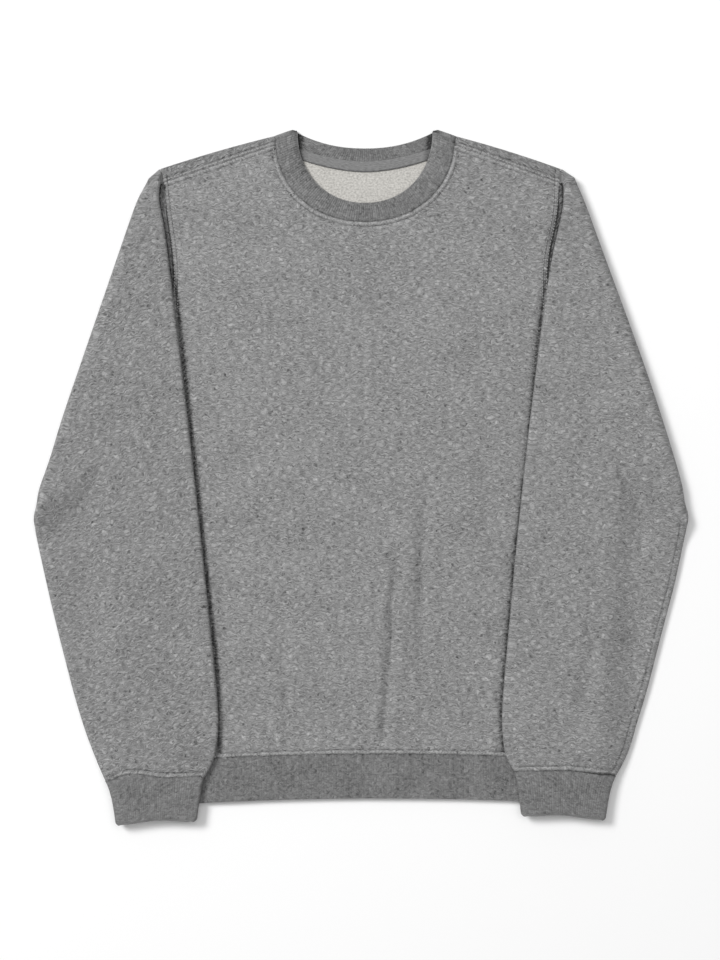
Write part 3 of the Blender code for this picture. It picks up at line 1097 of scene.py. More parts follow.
@dataclass
class Body:
    """Front and back panels, joined at the shoulders and sides."""

    coarse: float = 3.1
    fine: float = 0.8
    top_share: float = 0.227
    side_share: float = 0.56
    neck_start: float = 0.0189
    shoulder_drop: float = 1.6
    # Painted shade over the shoulder strips.
    shoulder_shade: float = 0.3
    ridges_at: tuple[float, float, float, float] = (2.2, 2.4, 2.1, 3.3)
    shoulder_reach: float = 15.0
    shoulder_strength: float = 0.8
    armhole_strength: float = 0.9
    broad: Unevenness = Unevenness(0.45, (85.0, 130.0), 3.1)
    small: Unevenness = Unevenness(0.22, (26.0, 34.0), 8.2)
    hem_gather: Unevenness = Unevenness(0.75, (6.5, 60.0), 5.7)
    hem_gather_reach: float = 8.0
    neck_pucker: Unevenness = Unevenness(0.3, (5.0, 5.0), 1.3)
    pucker_at: float = 6.0
    pucker_width: float = 5.0
    covered_from: float = 130.0
    covered_width: float = 50.0
    covered_calm: float = 0.8
    roll_stops: tuple[float, ...] = (0.0, 0.2, 0.4, 0.6, 0.8, 0.92, 1.0)
    beds: tuple[tuple[Pair, ...], ...] = (
        (
            (-209.0, 305.0), (-193.5, 185.0), (-180.5, 59.0),
            (-167.0, -68.0), (-152.6, -195.0), (-149.0, -290.0),
        ),
        (
            (212.5, 300.0), (201.5, 250.0), (187.5, 145.0), (175.5, 17.0),
            (162.0, -90.0), (148.5, -245.0), (150.5, -290.0),
        ),
    )
    bed_depth: float = 1.5
    bed_width: float = 3.2
    # bed_shade and bed_tail are a painted shadow along the sleeves' inner edges: a dark line and a softer
    # tail.
    bed_shade: float = 1.0
    bed_tail: float = 0.3
    ridges: tuple[Crease, ...] = (
        Crease(((50.0, 20.0), (41.0, -265.0)), -1.6, 17.0, 0.0, 0.33, 0.17),
        Crease(((24.0, -40.0), (6.0, -280.0)), -1.3, 16.0, 0.0, 0.33, 0.17),
        Crease(((-78.0, -95.0), (-57.0, -275.0)), -1.2, 18.0, 0.0, 0.33, 0.17),
    )
    creases: tuple[Crease, ...] = (
        Crease(
            ((42.0, -52.0), (39.5, -90.0), (34.0, -135.0), (31.8, -192.0), (25.9, -271.0), (20.0, -290.0)),
            4.2, 5.2, 0.3, 0.3, 0.12,
        ),
        Crease(((70.2, 24.3), (66.0, -89.7), (63.9, -222.8)), 3.0, 7.0, 0.35, 0.35, 0.4),
        Crease(((-88.2, -109.8), (-80.0, -200.0), (-71.3, -268.0)), 2.2, 8.0, 0.35, 0.35, 0.25),
        Crease(((-79.7, -241.8), (-76.0, -286.0)), 1.2, 4.0, 0.3, 0.4, 0.2),
        Crease(((22.0, -240.0), (25.0, -288.0)), 1.3, 4.0, 0.3, 0.4, 0.15),
        Crease(((101.0, 345.0), (119.0, 337.0), (138.0, 333.0)), 1.0, 3.5, 0.3, 0.3, 0.4),
        Crease(((-140.0, 60.0), (-96.0, 44.0), (-40.0, 50.0)), 0.9, 12.0, 0.3, 0.4, 0.4),
        Crease(((-20.0, 190.0), (40.0, 205.0), (110.0, 196.0)), 0.8, 14.0, 0.3, 0.4, 0.4),
        Crease(((-150.0, -60.0), (-142.0, -150.0), (-150.0, -235.0)), 1.4, 10.0, 0.3, 0.4, 0.4),
        Crease(((128.0, 90.0), (132.0, 0.0), (138.0, -110.0)), 1.2, 11.0, 0.3, 0.4, 0.4),
    )

    def edge(self, side: Side, v: Array, top_at: float) -> Array:
        """Side of a panel, from the hem up to the shoulder.

        Args:
            side: Which side.
            v: Shares up the panel.
            top_at: Share of the armhole at which the panel ends.

        Returns:
            One plan point for each share.
        """
        corner = side.value * PATTERN.hem_half
        hem = np.array((corner, PATTERN.hem_line(corner) + CLOTH.seam / 2))
        under = PATTERN.armhole(side, 1.0, -1)[0]
        low = mixed(hem, under, np.clip(v / self.side_share, 0.0, 1.0))
        climb = np.clip((v - self.side_share) / (1 - self.side_share), 0.0, 1.0)
        high = PATTERN.armhole(side, 1 - climb * (1 - top_at), -1)
        return np.where((v < self.side_share)[:, None], low, high)

    def columns(self) -> Array:
        """Shares across the panels, fine beside the armholes.

        Returns:
            Rising shares from 0 to 1.
        """
        shoulder = graded(118.0, self.fine, self.coarse, 9.0, True, False) * self.top_share
        neck = self.top_share + shares(86) * (1 - 2 * self.top_share)
        return np.concatenate([shoulder, neck[1:-1], 1 - shoulder[::-1]])

    def rows(self, coarse: float) -> Array:
        """Shares up the panels, fine at the hem and at the neck.

        Args:
            coarse: Largest step.

        Returns:
            Rising shares from 0 to 1.
        """
        low = graded(345.0, self.fine * 1.4, coarse, 12.0, True, False) * self.side_share
        high = graded(290.0, self.fine * 0.9, coarse, 8.0, False, True)
        return np.concatenate([low, self.side_share + high[1:] * (1 - self.side_share)])

    def hem(self, u: Array) -> Array:
        """Lower edge of a panel."""
        x = PATTERN.hem_half * (2 * u - 1)
        return np.stack([x, PATTERN.hem_line(x) + CLOTH.seam / 2], axis=-1)

    def parts(self, u: Array) -> tuple[Array, Array, Array]:
        """Shares along the left shoulder, the neck and the right shoulder."""
        neck = (u - self.top_share) / (1 - 2 * self.top_share)
        return u / self.top_share, neck, (1 - u) / self.top_share

    def relief(self, points: Array) -> Array:
        """Height of the front's creases, seams and soft unevenness over plan points.

        Args:
            points: Plan points.

        Returns:
            One height for each point.
        """
        height = np.zeros(points.shape[:-1])
        for crease in self.ridges + self.creases:
            height += crease.height(points)
        x, y = points[..., 0], points[..., 1]
        covered = ease((np.abs(x) - self.covered_from) / self.covered_width)
        soft = self.broad.over(points) + self.small.over(points)
        height += soft * (1 - self.covered_calm * covered)
        above_hem = y - PATTERN.hem_line(x)
        height += self.hem_gather.over(points) * np.exp(-above_hem / self.hem_gather_reach)
        near = hump(PATTERN.outside_neck(points) - self.pucker_at, self.pucker_width)
        height += near * self.neck_pucker.over(points)
        return height + self.seams(points)[0] - self.bed_depth * self.sleeve_beds(points)

    def sleeve_beds(self, points: Array) -> Array:
        """How deep the sleeves' inner edges press into the front, from 0 to 1.

        Args:
            points: Plan points.

        Returns:
            One share for each point.
        """
        share = np.zeros(points.shape[:-1])
        for line in self.beds:
            off, _ = near_line(points, np.array(line))
            share += hump(off, self.bed_width)
        return share

    def seams(self, points: Array) -> tuple[Array, Array]:
        """Ridges and grooves of the seams over plan points, and the painted highlight and shade on them.

        Args:
            points: Plan points.

        Returns:
            Heights in millimetres, and painted highlight and shade.
        """
        height = np.zeros(points.shape[:-1])
        shade_and_wear = np.zeros(points.shape[:-1])
        above_hem = points[..., 1] - PATTERN.hem_line(points[..., 0])
        hem_at, neck_at, shoulder_at, armhole_at = self.ridges_at
        seams = [(above_hem, hem_at, 1.0), (PATTERN.outside_neck(points), neck_at, 1.0)]
        for side in Side:
            off, _ = near_line(points, PATTERN.shoulder_seam(side, shares(1), CLOTH.seam / 2))
            reach = ease(self.shoulder_reach - np.abs(off))
            seams.append((np.abs(off), shoulder_at, self.shoulder_strength * reach))
            off, _ = near_line(points, PATTERN.armhole(side, shares(24), 0.0))
            seams.append((np.abs(off), armhole_at, self.armhole_strength))
        for off, ridge_at, share in seams:
            height += share * PANEL_SEAM.height(off, ridge_at)
            shade_and_wear += share * PANEL_SEAM.shade_and_wear(off, ridge_at)
        return height, shade_and_wear

    def rolls(self, sheet: Sheet, v: Array, top_at: float, upper: bool) -> None:
        """Turn a panel's side edges over, half of the way to the other panel.

        Args:
            sheet: Sheet of the panel.
            v: Shares up the panel.
            top_at: Share of the armhole at which the panel ends.
            upper: Whether it is the front panel.
        """
        last = math.acos(CLOTH.seam / 2 / CLOTH.roll)
        low = v[v <= self.side_share + 1e-9]
        for side in Side:
            line = self.edge(side, v, top_at)[: len(low)]
            direction = np.tile((float(side.value), 0.0), (len(low), 1))
            blend = ease((low / self.side_share - 0.93) / 0.07)[:, None]
            direction = direction * (1 - blend) + PATTERN.underarm_turn(side, -1) * blend
            direction /= np.linalg.norm(direction, axis=1)[:, None]
            stops = np.array(self.roll_stops) * last
            angles = stops if upper else math.pi - stops
            points = turned(line, direction, angles, CLOTH.middle_z, CLOTH.roll)
            if upper:
                points[0, :, 2] += self.relief(line)
                points[1, :, 2] += self.relief(line) * 0.6
            cut = np.stack(
                [
                    line[None, :, 0] + side.value * (stops * CLOTH.roll)[:, None],
                    np.broadcast_to(line[None, :, 1], (len(stops), len(low))),
                ],
                axis=-1,
            )
            sheet.patch(points, cut)

    def front(self, finishes: list[Material]) -> Piece:
        """Front panel, from the waistband to the shoulder seams.

        Args:
            finishes: Outside and inside.

        Returns:
            The piece.
        """
        u, v = self.columns(), self.rows(self.coarse)
        left_at, neck_at, right_at = self.parts(u)
        half = PATTERN.neck_half + CLOTH.seam / 2
        drop = PATTERN.front_drop + CLOTH.seam / 2
        along = self.neck_start + np.clip(neck_at, 0, 1) * (1 - 2 * self.neck_start)
        top = PATTERN.front_neck(along, half, PATTERN.neck_y, drop)
        for at, side in ((left_at, Side.LEFT), (right_at, Side.RIGHT)):
            seam = PATTERN.shoulder_seam(side, np.clip(at, 0, 1), CLOTH.seam)
            top = np.where((at <= 1 + 1e-9)[:, None], seam, top)
        left = self.edge(Side.LEFT, v, PATTERN.seam_at)
        right = self.edge(Side.RIGHT, v, PATTERN.seam_at)
        left[-1], right[-1] = top[0], top[-1]
        plan = filled(self.hem(u), top, left, right, u, v)
        height = CLOTH.front_z + self.relief(plan)
        sheet = Sheet("front_panel_cloth", CLOTH.fleece)
        bed = self.sleeve_beds(plan)
        # Painted highlight and shade of the seams, and a painted shadow along the sleeves' inner edges.
        shade_and_wear = self.seams(plan)[1] - self.bed_shade * bed**3 - self.bed_tail * np.sqrt(bed)
        sheet.patch(np.concatenate([plan, height[..., None]], axis=-1), plan, shade_and_wear)
        self.rolls(sheet, v, PATTERN.seam_at, upper=True)
        return sheet.made(finishes, Vector((0.0, 0.0, CLOTH.middle_z)))

    def back(self, finishes: list[Material]) -> Piece:
        """Back panel, from the waistband over the shoulders to the seams on the front.

        Args:
            finishes: Outside and inside.

        Returns:
            The piece.
        """
        u = self.columns()
        v = self.rows(self.coarse * 2.2)
        left_at, neck_at, right_at = self.parts(u)
        half = PATTERN.neck_half + CLOTH.seam / 2
        drop = PATTERN.back_drop + CLOTH.seam / 2
        top = PATTERN.back_neck(np.clip(neck_at, 0, 1), half, PATTERN.neck_y, drop, PATTERN.back_curve)
        for at, side in ((left_at, Side.LEFT), (right_at, Side.RIGHT)):
            fold = PATTERN.shoulder_fold(side, np.clip(at, 0, 1))
            top = np.where((at <= 1 + 1e-9)[:, None], fold, top)
        left = self.edge(Side.LEFT, v, 0.0)
        right = self.edge(Side.RIGHT, v, 0.0)
        left[-1], right[-1] = top[0], top[-1]
        plan = filled(self.hem(u), top, left, right, u, v)
        sheet = Sheet("back_panel_cloth", CLOTH.fleece)
        level = np.full(plan.shape[:2] + (1,), CLOTH.back_z)
        sheet.patch(np.concatenate([plan, level], axis=-1), plan)
        self.rolls(sheet, v, 0.0, upper=False)
        self.shoulders(sheet, u)
        return sheet.made(finishes, Vector((0.0, 0.0, CLOTH.middle_z)))

    def shoulders(self, sheet: Sheet, u: Array) -> None:
        """Bring the back over each shoulder fold to the seam on the front.

        Args:
            sheet: Sheet of the back.
            u: Shares across the panel.
        """
        at = (u / self.top_share)[u <= self.top_share + 1e-9]
        angles = math.pi * (1 - shares(14))
        for side in Side:
            fold = PATTERN.shoulder_fold(side, at)
            direction = PATTERN.shoulder_turn(side)
            over = turned(fold, direction, angles, CLOTH.middle_z, CLOTH.roll)
            seam = PATTERN.shoulder_seam(side, at)
            over[..., 2] -= self.shoulder_drop * ((1 + np.cos(angles)) / 2)[:, None]
            share = graded(10.0, 0.55, 1.2, 3.0, False, True)[1:, None]
            line = fold * (1 - share[..., None]) + seam * share[..., None]
            relief, painted_light_and_wear = self.seams(line)
            height = CLOTH.front_z - self.shoulder_drop * (1 - share) + relief * ease(share * 2.0)
            points = np.concatenate([over, np.concatenate([line, height[..., None]], axis=-1)])
            # Painted highlight and shade of the shoulder seam, then painted shade over the whole shoulder
            # strip, which rolls away from the light.
            shade_and_wear = np.concatenate([np.zeros(over.shape[:2]), painted_light_and_wear * ease(share * 2.0)])
            shade_and_wear -= self.shoulder_shade
            steps = np.linalg.norm(np.diff(points, axis=0), axis=2)
            run = np.concatenate([np.zeros((1, len(at))), np.cumsum(steps, axis=0)])
            cut = np.stack([np.broadcast_to(fold[:, 0], run.shape), fold[:, 1] + run], axis=-1)
            sheet.patch(points, cut, shade_and_wear)

    def build(self, outside: Material, inside: Material) -> list[Piece]:
        """Make both panels and hand them to the frame.

        Args:
            outside: Finish of the outside.
            inside: Finish of the inside.

        Returns:
            Front and back.
        """
        front = self.front([outside, inside])
        back = self.back([outside, inside])
        piece_of(front, "front_panel")
        piece_of(back, "back_panel")
        return [front, back]


# ---- Waistband ----


@dataclass
class Waistband:
    """Doubled strip of rib sewn round the lower edge of the body, laid as a flat tube."""

    ribs: int = 360
    per_rib: int = 4
    depth: float = 0.16
    # Painted shade over the whole band.
    shade: float = 0.1
    join: float = 20.0
    rows: Triple = (0.8, 6.5, 1.6)
    gather: Unevenness = Unevenness(0.5, (7.0, 40.0), 2.4)
    gather_reach: float = 9.0
    sag: Unevenness = Unevenness(0.5, (42.0, 60.0), 6.1)
    groove: float = 0.9
    groove_width: float = 1.0
    groove_shade: float = 0.7
    groove_shade_width: float = 1.2
    edge_calm: float = 0.3
    edge_reach: float = 5.0

    def build(self, finish: Material) -> Piece:
        """Make the ring of rib and hand it to the frame.

        Args:
            finish: Finish of the rib.

        Returns:
            The piece.
        """
        straight = 2 * PATTERN.hem_half
        bend = math.pi * CLOTH.roll
        around = 2 * (straight + bend)
        run = np.linspace(0.0, around, self.ribs * self.per_rib + 1)
        x, lift, out_x, out_z = self.section(run, straight, bend)
        down = graded(PATTERN.band_height - CLOTH.seam / 2, *self.rows, True, True)
        wave = self.depth * np.cos(2 * math.pi * run / around * self.ribs)
        shown = ease((1 + out_z) / 2) * ease(run / self.join) * ease((around - run) / self.join)
        rows, cuts, shade_and_wear_rows = [], [], []
        for share in down:
            fall = CLOTH.seam / 2 + (PATTERN.band_height - CLOTH.seam / 2) * share
            hem_x = np.clip(x, -PATTERN.hem_half, PATTERN.hem_half)
            y = PATTERN.hem_line(hem_x) - fall
            plan = np.stack([run, np.full_like(run, fall)], axis=-1)
            gather = self.gather.over(plan) * math.exp(-fall / self.gather_reach)
            groove = self.groove * hump(fall, self.groove_width)
            # Painted shade in the seam's groove and over the whole band.
            shade = self.groove_shade * hump(fall, self.groove_shade_width)
            shade_and_wear_rows.append(np.full_like(run, -shade - self.shade))
            off = wave - groove + (gather + self.sag.over(plan)) * shown
            off = off * (1 - self.edge_calm * hump(fall - PATTERN.band_height, self.edge_reach))
            rows.append(np.stack([x + out_x * off, y, lift + out_z * off], axis=-1))
            cuts.append(plan)
        sheet = Sheet("waistband_rib", CLOTH.rib)
        sheet.patch(np.array(rows), np.array(cuts), np.array(shade_and_wear_rows))
        middle = Vector((0.0, PATTERN.hem_y - PATTERN.band_height / 2, CLOTH.middle_z))
        piece = sheet.made([finish], middle, 0.8)
        return piece_of(piece, "waistband")

    def section(self, run: Array, straight: float, bend: float) -> tuple[Array, Array, Array, Array]:
        """Ring of the band: front, right turn, back, left turn.

        Args:
            run: Distance round the ring.
            straight: Length of each flat side.
            bend: Length of each turn.

        Returns:
            X and Z of each place, and the X and Z of the direction outwards.
        """
        turn_right = np.clip((run - straight) / bend, 0.0, 1.0) * math.pi
        turn_left = np.clip((run - 2 * straight - bend) / bend, 0.0, 1.0) * math.pi
        angle = turn_right + turn_left
        front = np.clip(run, 0.0, straight) - straight / 2
        back = np.clip(run - straight - bend, 0.0, straight)
        x = front - back + CLOTH.roll * np.sin(angle)
        z = CLOTH.middle_z + CLOTH.rib_lift + CLOTH.roll * np.cos(angle)
        return x, z, np.sin(angle), np.cos(angle)


# ---- Collar ----


@dataclass
class Collar:
    """Doubled rib ring round the neck, and the tape that covers the back neck seam."""

    half: float = 71.5
    y: float = 363.0
    front_drop: float = 74.8
    back_drop: float = 16.6
    back_lift: float = 2.5
    back_curve: float = 2.2
    tape_width: float = 10.0
    tape_overlap: float = 1.2
    tape_z: float = 3.2
    pitch: float = 2.6
    # pocket, pocket_y, pocket_rise, pocket_shade and pocket_darkest set the painted shade in the dark
    # pockets behind the front rib's free edge.
    pocket: float = 3.4
    pocket_y: float = 322.0
    peak: float = 2.0
    pocket_rise: float = 40.0
    pocket_shade: float = 1.2
    pocket_darkest: float = 1.3
    peak_from: float = 0.78
    rib_width: float = 20.0
    rows: Triple = (0.7, 2.6, 1.4)
    per_rib: int = 4
    depth: float = 0.25
    dome: float = 0.7
    edge_drop: float = 2.6
    edge_from: float = 0.72
    groove: float = 0.9
    groove_width: float = 1.0
    groove_shade: float = 0.75
    groove_shade_width: float = 1.1
    tape_from: float = 1 / 12
    tape_columns: int = 110
    tape_rows: Triple = (0.7, 1.6, 2.0)
    tape_dome: float = 0.35
    tape_pucker: Unevenness = Unevenness(0.12, (9.0, 9.0), 4.4)

    def line(self, front: bool, share: Array, outer: bool) -> Array:
        """Plan points of the collar's seam or free edge, on the front or the back.

        Args:
            front: Whether it is the front half.
            share: Shares of the way round it.
            outer: Whether it is the seam.

        Returns:
            One plan point for each share.
        """
        if front and outer:
            drop = PATTERN.front_drop - CLOTH.seam / 2
            return PATTERN.front_neck(share, PATTERN.neck_half - CLOTH.seam / 2, PATTERN.neck_y, drop)
        if front:
            return PATTERN.front_neck(share, self.half, self.y, self.front_drop)
        if outer:
            drop = PATTERN.back_drop - CLOTH.seam / 2
            half = PATTERN.neck_half - CLOTH.seam / 2
            return PATTERN.back_neck(share, half, PATTERN.neck_y, drop, PATTERN.back_curve)
        return PATTERN.back_neck(share, self.half, self.y, self.back_drop, self.back_curve)

    def stretch(self, front: bool) -> Array:
        """Shares of the front or back half, one for each column of the rib.

        Args:
            front: Whether it is the front half.

        Returns:
            Rising shares from 0 to 1.
        """
        base = shares(1200)
        outer = self.line(front, base, True)
        length = np.linalg.norm(np.diff(outer, axis=0), axis=1).sum()
        ribs = round(length / self.pitch)
        return even_shares(outer, base, ribs * self.per_rib)

    def half_ring(self, front: bool, across: Array) -> Array:
        """Front or back half of the collar, rows across the rib by columns round it.

        Args:
            front: Whether it is the front half.
            across: Shares across the rib.

        Returns:
            Points of the half.
        """
        share = self.stretch(front)
        outer = self.line(front, share, True)
        inner = self.line(front, share, False)
        low = CLOTH.back_z + CLOTH.rib_lift
        high = CLOTH.front_z + CLOTH.rib_lift
        plan = outer[None] * (1 - across[:, None, None]) + inner[None] * across[:, None, None]
        if front:
            drop = ease((across - self.edge_from) / (1 - self.edge_from)) ** 2
            dome = self.dome * np.sin(math.pi * across) - self.edge_drop * drop
            dome -= self.groove * hump(across * self.rib_width, self.groove_width)
            height = high + np.broadcast_to(dome[:, None], plan.shape[:2])
        else:
            lift = self.back_lift * (1 - (2 * share - 1) ** 2)
            height = low + lift[None] * across[:, None]
        wave = self.depth * np.cos(2 * math.pi * np.arange(len(share)) / self.per_rib)
        fade = ease(across / 0.12) * ease((1 - across) / 0.1)
        height = height + wave[None] * fade[:, None]
        return np.concatenate([plan, height[..., None]], axis=-1)

    def under_front(self, points: Array) -> Array:
        """Painted shade on what lies close behind the front rib's free edge, from -1 to 0.

        Args:
            points: Points behind the front rib.

        Returns:
            Painted shade at each point.
        """
        off, _ = near_line(points[..., :2], self.line(True, shares(60), False))
        rise = ease((points[..., 1] - self.pocket_y) / self.pocket_rise)
        reach = self.pocket * (0.7 + rise)
        return -np.clip(self.pocket_shade * (1 + rise) * hump(off, reach), 0.0, self.pocket_darkest)

    def ring(self, finish: Material) -> Piece:
        """Collar rib, lying forward on the front and standing up along the back neck.

        Args:
            finish: Finish of the rib.

        Returns:
            The piece.
        """
        across = graded(self.rib_width, *self.rows, True, True)
        front = self.half_ring(True, across)
        back = self.half_ring(False, across)
        middle = CLOTH.middle_z + CLOTH.rib_lift
        angles = (math.pi * shares(12))[1:-1]
        folds = {}
        for side, column in ((Side.LEFT, 0), (Side.RIGHT, -1)):
            station = front[:, column]
            direction = PATTERN.shoulder_turn(side)
            fold = turned(station[:, :2], direction, angles, middle, CLOTH.roll)
            lean = (station[:, 2] - CLOTH.front_z - CLOTH.rib_lift)[None] * np.cos(angles / 2)[:, None]
            fold[..., 2] += lean
            rounded = self.peak * ease((across - self.peak_from) / (1 - self.peak_from))
            fold[..., 1] -= rounded[None] * np.sin(angles)[:, None]
            folds[side] = fold.transpose(1, 0, 2)
        ring = np.concatenate(
            [front, folds[Side.RIGHT], back[:, ::-1], folds[Side.LEFT][:, ::-1], front[:, :1]], axis=1
        )
        run = run_along(ring[0])
        cut = np.stack(np.broadcast_arrays(run[None], across[:, None] * self.rib_width), axis=-1)
        # Painted shade in the seam's groove, and in the dark pockets behind the front rib's free edge.
        seam = self.groove_shade * hump(across * self.rib_width, self.groove_shade_width)
        shade_and_wear = np.broadcast_to(-seam[:, None], ring.shape[:2]).copy()
        start = front.shape[1]
        shade_and_wear[:, start:-1] += self.under_front(ring[:, start:-1])
        sheet = Sheet("neckband_rib", CLOTH.rib)
        sheet.patch(ring, cut, shade_and_wear)
        inside = Vector((PATTERN.neck_x, PATTERN.neck_y - 30.0, CLOTH.middle_z))
        piece = sheet.made([finish], inside, 0.8)
        return piece_of(piece, "neckband")

    def tape(self, finish: Material) -> Piece:
        """Tape along the inside of the back neck seam.

        Args:
            finish: Finish of the tape.

        Returns:
            The piece.
        """
        seam = (PATTERN.neck_half, PATTERN.neck_y, PATTERN.back_drop, PATTERN.back_curve)
        base = self.tape_from + shares(1000) * (1 - 2 * self.tape_from)
        share = even_shares(PATTERN.back_neck(base, *seam), base, self.tape_columns)
        line = PATTERN.back_neck(share, *seam)
        rows, cuts = [], []
        run = run_along(line)
        for up in graded(self.tape_overlap + self.tape_width, *self.tape_rows, True, True):
            shift = -self.tape_width + (self.tape_width + self.tape_overlap) * up
            plan = line + np.array((0.0, shift))
            height = self.tape_z + self.tape_dome * math.sin(math.pi * up) + self.tape_pucker.over(plan)
            rows.append(np.concatenate([plan, height[:, None]], axis=-1))
            cuts.append(np.stack([run, np.full_like(run, shift + self.tape_width)], axis=-1))
        sheet = Sheet("neck_tape_jersey", CLOTH.tape)
        # Painted shade of those pockets on the tape.
        sheet.patch(np.array(rows), np.array(cuts), self.under_front(np.array(rows)))
        piece = sheet.made([finish], Vector((PATTERN.neck_x, PATTERN.neck_y, -50.0)), 0.35)
        return piece_of(piece, "neck_tape")


# ---- Sleeves ----


@dataclass
class Sleeve:
    """One set-in sleeve with its cuff: a flat tube folded forward from the shoulder to the elbow.

    A place on the unfolded tube is given by how far it lies down the fold line from the shoulder,
    and how far outwards from that line; beyond the fold it comes back over the body.
    """

    side: Side
    length_share: float = 1.0
    bow: float = 2.6
    fold_bow: float = 0.0
    outline: tuple[Triple, ...] = ()
    forearm: tuple[Triple, ...] = ()
    arc: Triple = (0.5, 0.3, 2.0)
    under_seam: float = 0.0
    grain_turn: float = 0.0
    start: Pair = (216.1, 317.7)
    lean: float = math.radians(18.98)
    fold_z: float = 10.0
    fold_length: float = math.pi * 5.5
    elbow: float = 359.0
    cap: float = 7.0
    inner_start: float = -2.0
    inner_slope: float = 0.476
    dip: Triple = (20.0, 20.0, 3.6)
    # under_shade, contact, cap_shade and shade are painted shade: in the gap under the sleeve's inner
    # edge, as a painted shadow along that edge, over the cap, and over the whole sleeve.
    under_shade: float = 0.3
    contact: float = 1.0
    cap_shade: float = 0.0
    shade: float = 0.0
    fold_calm: float = 10.0
    edge_calm: float = 14.0
    contact_at: float = 0.8
    contact_width: float = 1.5
    gap_reach: float = 4.0
    # Share of the first row's painted highlight and shade that the cap rows carry.
    cap_shade_and_wear: float = 0.5
    cap_reach: float = 7.0
    fold_power: float = 1.6
    outline_reach: float = 70.0
    over_stops: tuple[float, float, float, float] = (150.0, 1.3, 3.1, 8.0)
    squareness: float = 2.8
    bow_length: float = 520.0
    settle: float = 1.4
    settle_width: float = 60.0
    sink: float = 11.0
    sink_start: float = 16.0
    sink_width: float = 38.0
    shortening: int = 3
    sections: tuple[tuple[float, float, float, float], ...] = (
        (376.0, 177.0, 372.0, -9.0),
        (395.0, 186.0, 386.5, 0.0),
        (425.0, 200.3, 421.0, 22.0),
        (460.0, 217.0, 462.0, 48.0),
        (495.0, 233.6, 505.0, 75.0),
        (522.3, 245.2, 545.0, 101.0),
        (542.6, 251.0, 577.0, 125.0),
        (563.9, 254.3, 602.0, 145.5),
        (583.1, 251.2, 619.4, 161.6),
    )
    cuff_end: tuple[float, float, float, float] = (630.6, 259.3, 659.4, 188.0)
    creases: tuple[Crease, ...] = ()
    seed: float = 1.0
    broad: Unevenness = Unevenness(1.1, (55.0, 75.0), 0.0)
    small: Unevenness = Unevenness(0.35, (18.0, 26.0), 4.0)
    gather: Unevenness = Unevenness(0.8, (5.5, 50.0), 9.0)
    gather_reach: float = 7.0
    cuff_ridge_at: float = 2.0
    under_groove: float = 0.6
    under_groove_shade: float = 0.7
    under_groove_width: float = 0.9
    upper_rows: int = 112
    lower_rows: int = 104
    under_steps: int = 26
    fold_steps: int = 12
    over_steps: int = 58
    roll_steps: int = 10
    cap_rows: int = 7
    cuff_length: float = 48.0
    cuff_stops: Triple = (0.8, 4.5, 1.6)
    cuff_ribs: int = 36
    per_rib: int = 5
    cuff_depth: float = 0.22
    cuff_gather: Unevenness = Unevenness(0.35, (9.0, 40.0), 2.0)
    cuff_sag: Unevenness = Unevenness(0.8, (30.0, 50.0), 7.0)
    cuff_groove: float = 0.9
    cuff_groove_shade: float = 0.7
    cuff_corner: float = 2.2
    cuff_waist: Pair = (2.4, 0.6)
    cuff_inset: Pair = (-0.5, 0.8)
    cuff_lift: float = 2.6

    def frame(self) -> tuple[Array, Array, Array]:
        """Start of the fold line, its direction down, and its direction outwards.

        Returns:
            Three pairs of X and Y.
        """
        sign = self.side.value
        down = np.array((sign * math.sin(self.lean), -math.cos(self.lean)))
        out = np.array((sign * math.cos(self.lean), math.sin(self.lean)))
        return np.array((sign * self.start[0], self.start[1])), down, out

    def unfolded(self, points: Array) -> Array:
        """Places of plan points down the fold line, and outwards from it.

        Args:
            points: Plan points.

        Returns:
            One place for each point.
        """
        start, down, out = self.frame()
        off = points - start
        return np.stack([off @ down, off @ out], axis=-1)

    def sinking(self, x: Array, y: Array, across: Array) -> Array:
        """How far the folded-over sleeve sinks, onto the body or past its side to the surface.

        Args:
            x: X of each point.
            y: Y of each point.
            across: Distance of each from the fold.

        Returns:
            One depth for each point.
        """
        under_x, under_y = PATTERN.underarm
        settled = self.settle * ease(across / self.settle_width)
        share = np.clip((under_y - y) / (under_y - PATTERN.hem_y), 0.0, 1.0)
        side_x = under_x + (PATTERN.hem_half - under_x) * share
        past_side = np.abs(x) - self.sink_start - side_x
        down = (math.sin(self.lean), -math.cos(self.lean))
        elbow = (self.start[0] + down[0] * self.elbow, self.start[1] + down[1] * self.elbow)
        along = unit(elbow[0] - under_x, elbow[1] - under_y)
        below = (np.abs(x) - under_x) * along[1] - (y - under_y) * along[0]
        drop = ease(np.minimum(past_side, below) / self.sink_width)
        return settled + (self.sink - settled) * drop

    def folded(self, along: Array, outward: Array, height: float) -> Array:
        """Places of sleeve points once the sleeve is folded forward over its fold line.

        Args:
            along: Distances down the fold line.
            outward: Distances outwards from it.
            height: Height of the layer before it is folded.

        Returns:
            One point for each place.
        """
        along, outward = np.broadcast_arrays(np.asarray(along, float), np.asarray(outward, float))
        angle = math.pi * np.clip(outward / self.fold_length, 0.0, 1.0)
        radius = self.fold_z - height
        under = np.minimum(outward, 0.0)
        over = np.maximum(outward - self.fold_length, 0.0)
        reach = under - over + radius * np.sin(angle)
        z = self.fold_z - radius * np.cos(angle)
        share = (1 - np.cos(angle)) / 2
        start, down, out = self.frame()
        bulge = self.fold_bow * np.sin(math.pi * np.clip(along / self.elbow, 0.0, 1.0) ** self.fold_power)
        for centre, width, amount in self.outline:
            bulge = bulge + amount * hump(along - centre, width)
        bulge = bulge * (1 - ease(np.abs(np.minimum(reach, 0.0)) / self.outline_reach))
        reach = reach + bulge
        x = start[0] + down[0] * along + out[0] * reach
        y = start[1] + down[1] * along + out[1] * reach
        z = z - share * self.sinking(x, y, np.maximum(-reach, 0.0))
        return np.stack([x, y, z], axis=-1)

